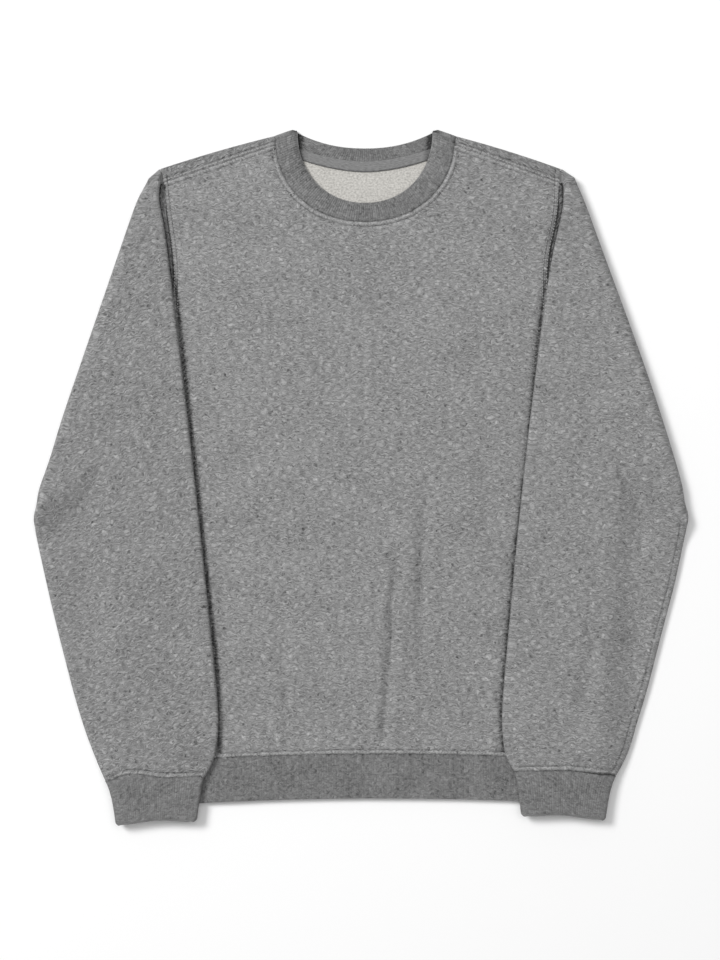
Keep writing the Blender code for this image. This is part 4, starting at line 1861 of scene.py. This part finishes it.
    def bowed(self, along: Array) -> Array:
        """How far the inner edge bows towards the body."""
        return self.bow * np.sin(math.pi * np.clip(along / self.bow_length, 0.0, 1.0))

    def inner_edge(self, along: Array) -> Array:
        """Distance of the sleeve's inner edge from the fold line, above the elbow.

        Args:
            along: Distances down the fold line.

        Returns:
            One distance for each.
        """
        centre, width, depth = self.dip
        edge = self.inner_start + self.inner_slope * along + self.bowed(along)
        return np.maximum(edge - depth * hump(along - centre, width), 0.5)

    def upper_ends(self, share: Array) -> tuple[Array, Array, Array]:
        """Rows above the elbow.

        Args:
            share: Shares from the cap to the elbow.

        Returns:
            Ends at the armhole, places on the fold, and places on the inner edge.
        """
        at = PATTERN.seam_at + (1 - PATTERN.seam_at) * share
        end = self.unfolded(PATTERN.armhole(self.side, at, 1))
        along = self.cap + (self.elbow - self.cap) * share
        fold = np.stack([along, np.zeros_like(along)], axis=-1)
        top = np.stack([along, self.fold_length + self.inner_edge(along)], axis=-1)
        return end, fold, top

    def lower_ends(self, share: Array) -> tuple[Array, Array]:
        """Rows below the elbow.

        Args:
            share: Shares from the elbow to the cuff seam.

        Returns:
            Places on the outer edge and on the inner edge.
        """
        inner = self.inner_start + self.inner_slope * self.elbow
        first = (self.elbow, inner, self.elbow, -self.fold_length)
        table = np.array((first,) + self.sections)
        reached = (np.arange(len(table)) / (len(table) - 1)) ** self.shortening
        shrink = 1 + (self.length_share - 1) * reached
        table[:, 1] += self.bowed(table[:, 0])
        table[:, 0] *= shrink
        table[:, 2] *= shrink
        rows = smooth_rows(table, share)
        for centre, width, amount in self.forearm:
            rows[:, 3] -= amount * hump(rows[:, 2] - centre, width)
        end = np.stack([rows[:, 2], self.fold_length + rows[:, 3]], axis=-1)
        top = np.stack([rows[:, 0], self.fold_length + rows[:, 1]], axis=-1)
        return end, top

    def across(self, start: Array, top: Array) -> Array:
        """Stops of rows that run from the fold, or an edge past it, to the inner edge.

        Args:
            start: Start of each row.
            top: End of each row.

        Returns:
            Rows by stops.
        """
        stops = [start]
        first = np.maximum(start[:, 1], self.fold_length)
        outs = [np.full(len(start), self.fold_length * s) for s in shares(self.fold_steps)[1:]]
        over = graded(*self.over_stops, True, True)
        over = np.interp(shares(self.over_steps), np.linspace(0, 1, len(over)), over)
        outs += [first + (top[:, 1] - first) * s for s in over[1:]]
        for outward in outs:
            outward = np.maximum(outward, start[:, 1])
            share = (outward - start[:, 1]) / (top[:, 1] - start[:, 1])
            stops.append(start + (top - start) * share[:, None])
        return np.stack(stops, axis=1)

    def relief(self, places: Array, points: Array, lower: bool) -> tuple[Array, Array]:
        """Height of the creases and seams of the layer that shows, and the painted highlight and shade on
        its seams.

        Args:
            places: Places on the unfolded tube.
            points: The same places once folded.
            lower: Whether the rows are those below the elbow, which end at the cuff.

        Returns:
            Height to add at each place, and painted highlight and shade.
        """
        height = np.zeros(points.shape[:-1])
        plan = points[..., :2]
        for crease in self.creases:
            height += crease.height(plan)
        height += self.broad.over(plan, self.seed) + self.small.over(plan, self.seed)
        inner = np.linalg.norm(places - places[:, -1:], axis=-1)
        outer = np.linalg.norm(places - places[:, :1], axis=-1)
        shade_and_wear = np.zeros_like(height)
        if not lower:
            past_fold = ease((places[..., 1] - self.fold_length) / self.fold_calm)
            return height * past_fold * ease(inner / self.edge_calm), shade_and_wear
        if self.under_seam:
            fade = ease((np.arange(len(places)) / 20.0) - 0.4)[:, None]
            groove = fade * hump(outer - self.under_seam, self.under_groove_width)
            height -= self.under_groove * groove
            # Painted shade in the underarm seam's groove.
            shade_and_wear -= self.under_groove_shade * groove
        height *= ease((outer - 0.5) / 9.0 + 0.15) * ease(inner / self.edge_calm)
        off = np.linalg.norm(places - places[-1:], axis=-1)
        height += self.gather.over(plan, self.seed) * np.exp(-off / self.gather_reach)
        height += CUFF_SEAM.height(off, self.cuff_ridge_at)
        # Painted highlight and shade of the cuff seam.
        return height, shade_and_wear + CUFF_SEAM.shade_and_wear(off, self.cuff_ridge_at)

    def cap_row(self, count: int) -> Array:
        """Top of the armhole seam: the notch on the front, then over the shoulder to the back.

        Args:
            count: Number of points.

        Returns:
            Points, in the order of a row of the tube.
        """
        notch = np.append(PATTERN.armhole(self.side, PATTERN.seam_at, 1)[0], CLOTH.front_z)
        top = PATTERN.armhole(self.side, 0.0, 1)[0]
        top += PATTERN.shoulder_turn(self.side) * PATTERN.shoulder_peak
        high = np.append(top, CLOTH.front_z)
        low = np.append(top, CLOTH.back_z)
        below = np.array((notch[0], notch[1], CLOTH.back_z))
        direction = PATTERN.shoulder_turn(self.side)
        angles = (math.pi * shares(self.fold_steps))[1:]
        over = turned(top, direction, angles, CLOTH.middle_z, CLOTH.roll)[:, 0]
        back = np.concatenate(
            [
                mixed(notch, high, shares(self.over_steps)),
                over,
                mixed(low, below, shares(self.under_steps))[1:],
            ]
        )
        still = np.tile(notch, (count - len(back), 1))
        return np.concatenate([still, back])

    def arced(self, share: Array) -> Array:
        """How far the cuff seam rises up the sleeve, at shares from the outer edge."""
        centre, width, rise = self.arc
        return rise * hump(share - centre, width) * ease(share / 0.1) * ease((1 - share) / 0.1)

    def tube(self, rows: Array, lower: bool) -> tuple[Array, Array, Array]:
        """Points and cut places of rows of the sleeve.

        Args:
            rows: Places on the unfolded tube, rows by stops.
            lower: Whether the rows are those below the elbow.

        Returns:
            Points of the front layer, the turned inner edge and the back layer, their cut, and painted
            highlight and shade.
        """
        if lower:
            width = np.linalg.norm(rows[-1] - rows[-1, :1], axis=-1)
            late = ease((np.arange(len(rows)) / (len(rows) - 1) - 0.75) / 0.25)[:, None]
            rise = self.arced(width / width[-1]) * late
            rows = rows - rise[..., None] * self.length_way()
        tops = rows[:, -1]
        tangent = np.gradient(tops, axis=0)
        tangent /= np.linalg.norm(tangent, axis=1)[:, None]
        direction = np.stack([-tangent[:, 1], tangent[:, 0]], axis=-1)
        front = self.folded(rows[..., 0], rows[..., 1], CLOTH.front_z)
        back = self.folded(rows[..., 0], rows[..., 1], CLOTH.back_z)
        relief, painted_light_and_wear = self.relief(rows, back, lower)
        back[..., 2] += relief
        turn = self.edge_turn(tops, direction, shares(self.roll_steps)[1:-1])
        cut = self.grain(rows)
        reach = shares(self.roll_steps)[1:-1] * math.pi * CLOTH.roll
        turn_cut = cut[:, -1:] + self.grain(direction[:, None] * reach[None, :, None])
        back_cut = cut[:, ::-1] + self.grain(direction[:, None] * math.pi * CLOTH.roll)
        points = np.concatenate([front, turn, back[:, ::-1]], axis=1)
        shade_and_wear = np.zeros(points.shape[:2])
        shade_and_wear[:, -painted_light_and_wear.shape[1] :] = painted_light_and_wear[:, ::-1]
        return points, np.concatenate([cut, turn_cut, back_cut], axis=1), shade_and_wear

    def length_way(self) -> Array:
        """Direction down the sleeve on the unfolded tube."""
        tilt = math.atan(self.inner_slope)
        return np.array((math.cos(tilt), math.sin(tilt)))

    def grain(self, places: Array) -> Array:
        """Places turned so that the sleeve's length runs up the cut piece.

        Args:
            places: Places on the unfolded tube.

        Returns:
            Places on the cut piece.
        """
        tilt = math.atan(self.inner_slope) + self.grain_turn
        along, outward = places[..., 0], places[..., 1]
        length = along * math.cos(tilt) + outward * math.sin(tilt)
        width = outward * math.cos(tilt) - along * math.sin(tilt)
        return np.stack([-self.side.value * width, -length], axis=-1)

    def edge_turn(self, places: Array, direction: Array, steps: Array, lift: float = 0.0) -> Array:
        """Points round a turned edge of the sleeve, between its two layers.

        Args:
            places: Places where the layers start to turn.
            direction: Direction in which each rolls out.
            steps: Shares of the turn.
            lift: How much thicker the cloth is than fleece, halved.

        Returns:
            Points, places by steps.
        """
        low = CLOTH.back_z - lift
        high = CLOTH.front_z - lift
        radius = (high - low) / 2
        power = 2 / self.squareness
        turn = []
        for share in steps:
            sine, cosine = math.sin(math.pi * share), math.cos(math.pi * share)
            reach = places + direction * radius * sine**power
            height = (high + low) / 2 + radius * math.copysign(abs(cosine) ** power, cosine)
            turn.append(self.folded(reach[:, 0], reach[:, 1], height))
        return np.stack(turn, axis=1)

    def build(self, outside: Material, inside: Material) -> Piece:
        """Make the sleeve and hand it to the frame.

        Args:
            outside: Finish of the outside.
            inside: Finish of the inside.

        Returns:
            The piece.
        """
        end, fold, top = self.upper_ends(shares(self.upper_rows))
        under = np.stack([end + (fold - end) * s for s in shares(self.under_steps)], axis=1)
        upper = np.concatenate([under, self.across(fold, top)[:, 1:]], axis=1)
        low_end, low_top = self.lower_ends(shares(self.lower_rows))
        lower = self.across(low_end, low_top)
        points, cut, shade_and_wear = self.tube(upper, lower=False)
        count = points.shape[1]
        cap = self.cap_row(count)
        caps = np.stack([cap + (points[0] - cap) * s for s in shares(self.cap_rows)[:-1]])
        cap_cut = np.stack(
            [cut[0] + np.array((0.0, self.cap * (1 - s))) for s in shares(self.cap_rows)[:-1]]
        )
        sheet = Sheet("sleeve_" + self.side.name.lower() + "_cloth", CLOTH.fleece)
        # Painted shade in the gap between the armhole and the folded-over sleeve, darkest in a painted
        # shadow under the sleeve's edge.
        shade_and_wear[:, : under.shape[1]] -= self.under_painted_shade(under)
        # The cap rows carry part of the first row's painted highlight and shade; then painted shade goes
        # over the whole sleeve, and over the cap, fading down from its top.
        cap_shade_and_wear = np.tile(shade_and_wear[:1], (self.cap_rows, 1)) * self.cap_shade_and_wear
        shade_and_wear = np.concatenate([cap_shade_and_wear, shade_and_wear]) - self.shade
        shade_and_wear -= self.cap_shade * np.exp(-np.arange(len(shade_and_wear)) / self.cap_reach)[:, None]
        sheet.patch(np.concatenate([caps, points]), np.concatenate([cap_cut, cut]), shade_and_wear)
        low_points, low_cut, low_shade_and_wear = self.tube(lower, lower=True)
        # The same painted shade over the whole sleeve below the elbow.
        low_shade_and_wear -= self.shade
        keep = self.under_steps
        low_points[0] = points[-1][keep:-keep]
        sheet.patch(low_points, low_cut, low_shade_and_wear)
        self.underarm(sheet, upper[-1][: keep + 1], lower[1:, 0], low_points)
        centre = self.folded(np.array([450.0]), np.array([self.fold_length + 120.0]), 4.5)[0]
        piece = sheet.made([outside, inside], Vector(centre))
        node = "sleeve_" + self.side.name.lower()
        return piece_of(piece, node)

    def under_painted_shade(self, places: Array) -> Array:
        """Painted shade on the layer that shows between the armhole and the folded-over sleeve, darkest in
        a painted shadow under the sleeve's edge.

        Args:
            places: Places on the unfolded tube.

        Returns:
            How dark each place is.
        """
        along, outward = places[..., 0], places[..., 1]
        edge = self.inner_edge(along) + CLOTH.roll + self.contact_at
        contact = self.contact * hump(outward + edge, self.contact_width)
        return (self.under_shade + contact) * ease(-outward / self.gap_reach)

    def underarm(self, sheet: Sheet, under: Array, outer: Array, low: Array) -> None:
        """Close the tube along the underarm seam, from the armhole to the cuff.

        Args:
            sheet: Sheet of the sleeve.
            under: Edge above the elbow.
            outer: Edge below the elbow.
            low: Points of the rows below the elbow.
        """
        edge = np.concatenate([under, outer])
        tangent = np.gradient(edge, axis=0)
        tangent /= np.linalg.norm(tangent, axis=1)[:, None]
        direction = np.stack([tangent[:, 1], -tangent[:, 0]], axis=-1)
        _, down, out = self.frame()
        turn = PATTERN.underarm_turn(self.side, 1)
        direction[0] = (turn @ down, turn @ out)
        for k in range(1, 6):
            direction[k] = mixed(direction[0], direction[6], np.array([k / 6]))[0]
            direction[k] /= np.linalg.norm(direction[k])
        points = self.edge_turn(edge, direction, shares(self.roll_steps))
        start = len(under)
        points[start:, 0] = low[1:, 0]
        points[start:, -1] = low[1:, -1]
        cut = self.grain(edge)[:, None] + self.grain(
            direction[:, None] * (shares(self.roll_steps) * math.pi * CLOTH.roll)[None, :, None]
        )
        sheet.patch(points, cut)

    def cuff(self, finish: Material) -> Piece:
        """Make the cuff, a flat tube of rib from the sleeve's last section to the hand.

        Args:
            finish: Finish of the rib.

        Returns:
            The piece.
        """
        last = self.sections[-1]
        lengthen = last[0] * (self.length_share - 1)
        shift = CLOTH.seam / (self.cuff_end[0] - last[0])
        rows, cuts, shade_and_wear_rows = [], [], []
        for share in graded(self.cuff_length, *self.cuff_stops, True, True):
            at = shift + (1 - shift) * share
            row = [a + (b - a) * at for a, b in zip(last, self.cuff_end)]
            end = np.array((row[2] + lengthen, self.fold_length + row[3]))
            top = np.array((row[0] + lengthen, self.fold_length + row[1]))
            inward = (top - end) / np.linalg.norm(top - end)
            rounded = self.cuff_corner * max(0.0, (share - 0.93) / 0.07) ** 2.5
            waist = math.sin(math.pi * share**0.7)
            end = end + inward * (self.cuff_waist[0] * waist + self.cuff_inset[0] + rounded)
            top = top - inward * (self.cuff_waist[1] * waist + self.cuff_inset[1] + rounded)
            ring, run, seam = self.cuff_ring(end, top, share)
            rows.append(ring)
            shade_and_wear_rows.append(seam)
            cuts.append(np.stack([run, np.full_like(run, share * self.cuff_length)], axis=-1))
        node = "cuff_" + self.side.name.lower()
        sheet = Sheet(node + "_rib", CLOTH.rib)
        sheet.patch(np.array(rows), np.array(cuts), np.array(shade_and_wear_rows))
        middle = Vector(np.array(rows).reshape(-1, 3).mean(axis=0))
        piece = sheet.made([finish], middle, 0.8)
        return piece_of(piece, node)

    def cuff_ring(self, end: Array, top: Array, share: float) -> tuple[Array, Array, Array]:
        """One ring of the cuff, with its ribs.

        Args:
            end: Place of the outer edge.
            top: Place of the inner edge.
            share: Share of the way from the seam to the hand.

        Returns:
            Points round the ring, the distance round it, and painted shade.
        """
        width = float(np.linalg.norm(top - end))
        down = share * self.cuff_length
        flat = shares(self.cuff_ribs * self.per_rib)
        across = (top - end) / width
        turns = shares(14)[1:-1]
        line = end + (top - end) * flat[:, None]
        rise = self.arced(flat) * (1 - ease(share / 0.6))
        rise = rise + self.cuff_lift * np.sin(math.pi * flat) ** 2 * ease((share - 0.5) / 0.5)
        line = line - rise[:, None] * self.length_way()
        fade = float(ease(share / 0.06) * ease((1 - share) / 0.05))
        wave = self.cuff_depth * np.cos(2 * math.pi * flat * self.cuff_ribs) * fade
        plan = np.stack([flat * width, np.full_like(flat, down)], axis=-1)
        wave = wave + self.cuff_gather.over(plan, self.seed) * math.exp(-share * 5.0)
        wave = wave + self.cuff_sag.over(plan, self.seed)
        high = CLOTH.front_z - CLOTH.rib_lift
        low = CLOTH.back_z - CLOTH.rib_lift
        edges = ease(flat / 0.08) * ease((1 - flat) / 0.08)
        front = self.folded(line[:, 0], line[:, 1], high)
        back = self.folded(line[:, 0], line[:, 1], low)
        groove = math.exp(-(down**2))
        back[:, 2] += wave * edges - self.cuff_groove * groove
        front[:, 2] -= wave * edges * 0.5
        inner = self.edge_turn(top[None], across[None], turns, CLOTH.rib_lift)[0]
        outer = self.edge_turn(end[None], -across[None], turns, CLOTH.rib_lift)[0]
        ring = np.concatenate([front, inner, back[::-1], outer[::-1], front[:1]])
        run = run_along(ring)
        # Painted shade in the cuff seam's groove.
        return ring, run, np.full(len(run), -self.cuff_groove_shade * groove)


def smooth_rows(table: Array, share: Array) -> Array:
    """Rows between those of a table, on smooth curves through them.

    Args:
        table: Rows of values.
        share: Shares of the way down the table.

    Returns:
        One row for each share.
    """
    last = len(table) - 1
    padded = np.concatenate([[2 * table[0] - table[1]], table, [2 * table[-1] - table[-2]]])
    place = np.clip(share * last, 0.0, last)
    index = np.minimum(place.astype(int), last - 1)
    t = (place - index)[:, None]
    before, start, end, after = (padded[index + k] for k in range(4))
    return 0.5 * (
        2 * start
        + (end - before) * t
        + (2 * before - 5 * start + 4 * end - after) * t**2
        + (3 * start - before - 3 * end + after) * t**3
    )


# ---- Stitching ----


@dataclass
class Stitching:
    """Rows of stitches, each lying on the cloth below it."""

    name: str
    length: float = 2.7
    gap: float = 0.6
    width: float = 0.95
    height: float = 0.6
    slip: float = 0.8
    bm: bmesh.types.BMesh = field(default_factory=bmesh.new)

    def row(self, cloth: Piece, line: Array, above: bool = True) -> None:
        """Sew a row along a plan line.

        Args:
            cloth: The piece that the stitches lie on.
            line: Plan points, in millimetres.
            above: Whether the row lies on top of the cloth or below it.
        """
        tree = BVHTree.FromPolygons(
            [v.co for v in cloth.data.vertices], [p.vertices for p in cloth.data.polygons]
        )
        run = run_along(line)
        places = np.arange(self.length / 2, run[-1] - self.length / 2, self.length + self.gap)
        down = Vector((0.0, 0.0, -1.0 if above else 1.0))
        height = 0.1 if above else -0.1
        for place in places:
            ends = []
            for at in (place - self.length / 2, place + self.length / 2):
                x, y = (np.interp(at, run, line[:, axis]) * MM for axis in (0, 1))
                hit = tree.ray_cast(Vector((x, y, height)), down)
                if hit[0] is not None:
                    ends.append(hit)
            if len(ends) == 2 and abs(ends[0][0].z - ends[1][0].z) < self.slip * MM:
                self.stitch(ends[0][0], ends[1][0], (ends[0][1] + ends[1][1]).normalized())

    def stitch(self, start: Vector, end: Vector, up: Vector) -> None:
        """One stitch: a small flattened bead from start to end.

        Args:
            start: Where the thread comes up.
            end: Where it goes down.
            up: Direction out of the cloth.
        """
        along = (end - start).normalized()
        side = up.cross(along).normalized()
        up = along.cross(side)
        turn = Matrix((along, side, up)).transposed().to_4x4()
        size = Matrix.Diagonal(
            ((end - start).length / 2, self.width / 2 * MM, self.height / 2 * MM, 1.0)
        )
        middle = (start + end) / 2 + up * self.height * 0.3 * MM
        bmesh.ops.create_icosphere(
            self.bm, subdivisions=1, radius=1.0, matrix=Matrix.Translation(middle) @ turn @ size
        )

    def made(self, finish: Material) -> Piece:
        """Hand the stitches to the frame.

        Args:
            finish: Finish of the thread.

        Returns:
            The stitches.
        """
        mesh = bpy.data.meshes.new(self.name)
        self.bm.to_mesh(mesh)
        self.bm.free()
        mesh.materials.append(finish)
        mesh.shade_smooth()
        piece = placed(self.name, mesh)
        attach(piece, "root")
        LOG.info("%s: %d faces", piece.name, len(mesh.polygons))
        return piece


# ---- Studio ----


@dataclass(frozen=True)
class Lamp:
    """Square soft light: its place in metres, its side and its power."""

    name: str
    place: Triple
    size: float
    power: float


@dataclass
class Studio:
    """Pale floor, soft light and a camera straight above the garment."""

    view_height: float = 1.0136
    aim: Pair = (-0.0005, -0.0042)
    lens: float = 85.0
    film: float = 36.0
    floor_size: float = 14.0
    sky: float = 0.24
    lamps: tuple[Lamp, ...] = (
        Lamp("window", (-3.0, 2.0, 4.6), 1.9, 245.0),
        Lamp("ceiling", (0.3, 0.3, 3.4), 2.6, 46.0),
    )

    def floor(self) -> Piece:
        """Floor just under the garment.

        Returns:
            The floor.
        """
        bm = bmesh.new()
        bmesh.ops.create_grid(bm, x_segments=8, y_segments=8, size=self.floor_size)
        bmesh.ops.translate(bm, verts=bm.verts, vec=Vector((0.0, 0.0, -0.0002)))
        mesh = bpy.data.meshes.new("floor")
        bm.to_mesh(mesh)
        bm.free()
        mesh.materials.append(FloorFinish().material())
        floor = placed("floor", mesh)
        return floor

    def light(self, lamp: Lamp) -> None:
        """Set up one lamp so that it faces the garment.

        Args:
            lamp: The lamp.
        """
        light = bpy.data.lights.new(lamp.name, "AREA")
        light.shape = "SQUARE"
        light.size = lamp.size
        light.energy = lamp.power
        body = placed(lamp.name, light)
        body.location = lamp.place
        body.rotation_euler = (-Vector(lamp.place)).to_track_quat("-Z", "Y").to_euler()

    def build(self) -> None:
        """Set up the floor, the lights, the sky and the camera."""
        self.floor()
        for lamp in self.lamps:
            self.light(lamp)
        world = bpy.data.worlds.new("sky")
        world.use_nodes = True
        back = world.node_tree.nodes["Background"]
        back.inputs["Color"].default_value = (1.0, 1.0, 1.0, 1.0)
        back.inputs["Strength"].default_value = self.sky
        bpy.context.scene.world = world
        bpy.context.scene.view_settings.view_transform = "Standard"
        lens = bpy.data.cameras.new("camera")
        lens.sensor_fit = "VERTICAL"
        lens.sensor_height = self.film
        lens.lens = self.lens
        camera = placed("camera", lens)
        camera.location = (*self.aim, self.view_height * self.lens / self.film + CLOTH.front_z * MM)
        bpy.context.scene.camera = camera


# ---- The whole garment ----


def left_sleeve() -> Sleeve:
    """Sleeve on the left, with its diagonal folds.

    Returns:
        The sleeve.
    """
    return Sleeve(
        Side.LEFT,
        creases=(
            Crease(((-268.0, -225.0), (-240.0, -256.0), (-213.0, -288.0)), 2.2, 7.0, 0.4, 0.3, 0.3),
            Crease(((-300.0, -60.0), (-280.0, -120.0), (-262.0, -150.0)), 1.4, 11.0, 0.4, 0.4, 0.4),
            Crease(((-214.0, 262.0), (-232.0, 236.0), (-246.0, 214.0)), 1.2, 7.0, 0.4, 0.4, 0.4),
        ),
        seed=1.0,
        outline=((5.0, 19.0, -4.2), (326.0, 36.0, -1.8), (377.0, 17.0, -4.6)),
        forearm=((462.0, 50.0, 1.5), (580.0, 25.0, 0.9)),
        arc=(0.27, 0.22, 6.0),
        grain_turn=math.radians(15.0),
        # Painted shade over the whole sleeve, which the lamps light more.
        shade=0.1,
    )


def right_sleeve() -> Sleeve:
    """Sleeve on the right, which lies a little shorter.

    Returns:
        The sleeve.
    """
    return Sleeve(
        Side.RIGHT,
        length_share=0.99,
        bow=6.2,
        fold_bow=3.6,
        outline=((9.0, 17.0, -1.6), (375.0, 17.0, -3.6)),
        forearm=((445.0, 36.0, 1.8), (600.0, 26.0, 4.6)),
        dip=(30.0, 36.0, 5.0),
        # Painted shade in the gap under the sleeve's edge, a painted shadow along that edge, and painted
        # shade over the cap.
        under_shade=0.8,
        contact=0.6,
        cap_shade=0.6,
        arc=(0.5, 0.3, 2.6),
        under_seam=3.2,
        grain_turn=math.radians(-4.0),
        cuff_waist=(2.4, 1.2),
        cuff_inset=(-2.8, -0.4),
        creases=(
            Crease(((249.7, -130.9), (240.0, -205.0), (231.7, -278.7)), 1.8, 8.0, 0.4, 0.35, 0.3),
            Crease(((305.0, -40.0), (282.0, -88.0), (262.0, -118.0)), 1.2, 11.0, 0.4, 0.4, 0.4),
            Crease(((212.0, 268.0), (232.0, 240.0), (247.0, 215.0)), 1.2, 7.0, 0.4, 0.4, 0.4),
        ),
        seed=21.0,
    )


def sew(front: Piece, back: Piece) -> None:
    """Sew the rows of stitches that show.

    Args:
        front: Front panel.
        back: Back panel.
    """
    thread = ThreadFinish().material()
    neck = Stitching("neck_stitches")
    half, drop = PATTERN.neck_half + NECK_STITCH_OUT, PATTERN.front_drop + NECK_STITCH_OUT
    neck.row(front, PATTERN.front_neck(np.linspace(0.03, 0.97, 400), half, PATTERN.neck_y, drop))
    neck.made(thread)
    shoulder = Stitching("shoulder_stitches")
    for side in Side:
        for cloth, below in ((front, SHOULDER_STITCH_BELOW), (back, -SHOULDER_STITCH_ABOVE)):
            shoulder.row(cloth, PATTERN.shoulder_seam(side, np.linspace(0.02, 0.99, 60), below))
    shoulder.made(thread)
    armhole = Stitching("armhole_stitches")
    for side in Side:
        hole = PATTERN.armhole(side, np.linspace(0.06, 0.96, 300), 0.0)
        for inward in ARMHOLE_STITCHES_IN:
            armhole.row(front, hole - np.array((side.value * inward, 0.0)))
    armhole.made(thread)
    hem = Stitching("hem_stitches")
    x = np.linspace(-PATTERN.hem_half + 1, PATTERN.hem_half - 1, 500)
    line = np.stack([x, PATTERN.hem_line(x) + HEM_STITCH_UP], axis=-1)
    hem.row(front, line)
    hem.row(back, line, above=False)
    hem.made(thread)


def main() -> None:
    """Build every piece of the sweatshirt, then the studio round it."""
    logging.basicConfig(level=logging.INFO, format="%(name)s %(message)s")
    fleece = MarlFinish().material()
    inside = LoopFinish().material()
    rib = RibFinish().material()
    front, back = Body().build(fleece, inside)
    Waistband().build(rib)
    collar = Collar()
    collar.ring(rib)
    collar.tape(TapeFinish().material())
    for sleeve in (left_sleeve(), right_sleeve()):
        sleeve.build(fleece, inside)
        sleeve.cuff(rib)
    sew(front, back)
    Studio().build()


if __name__ == "__main__":
    main()
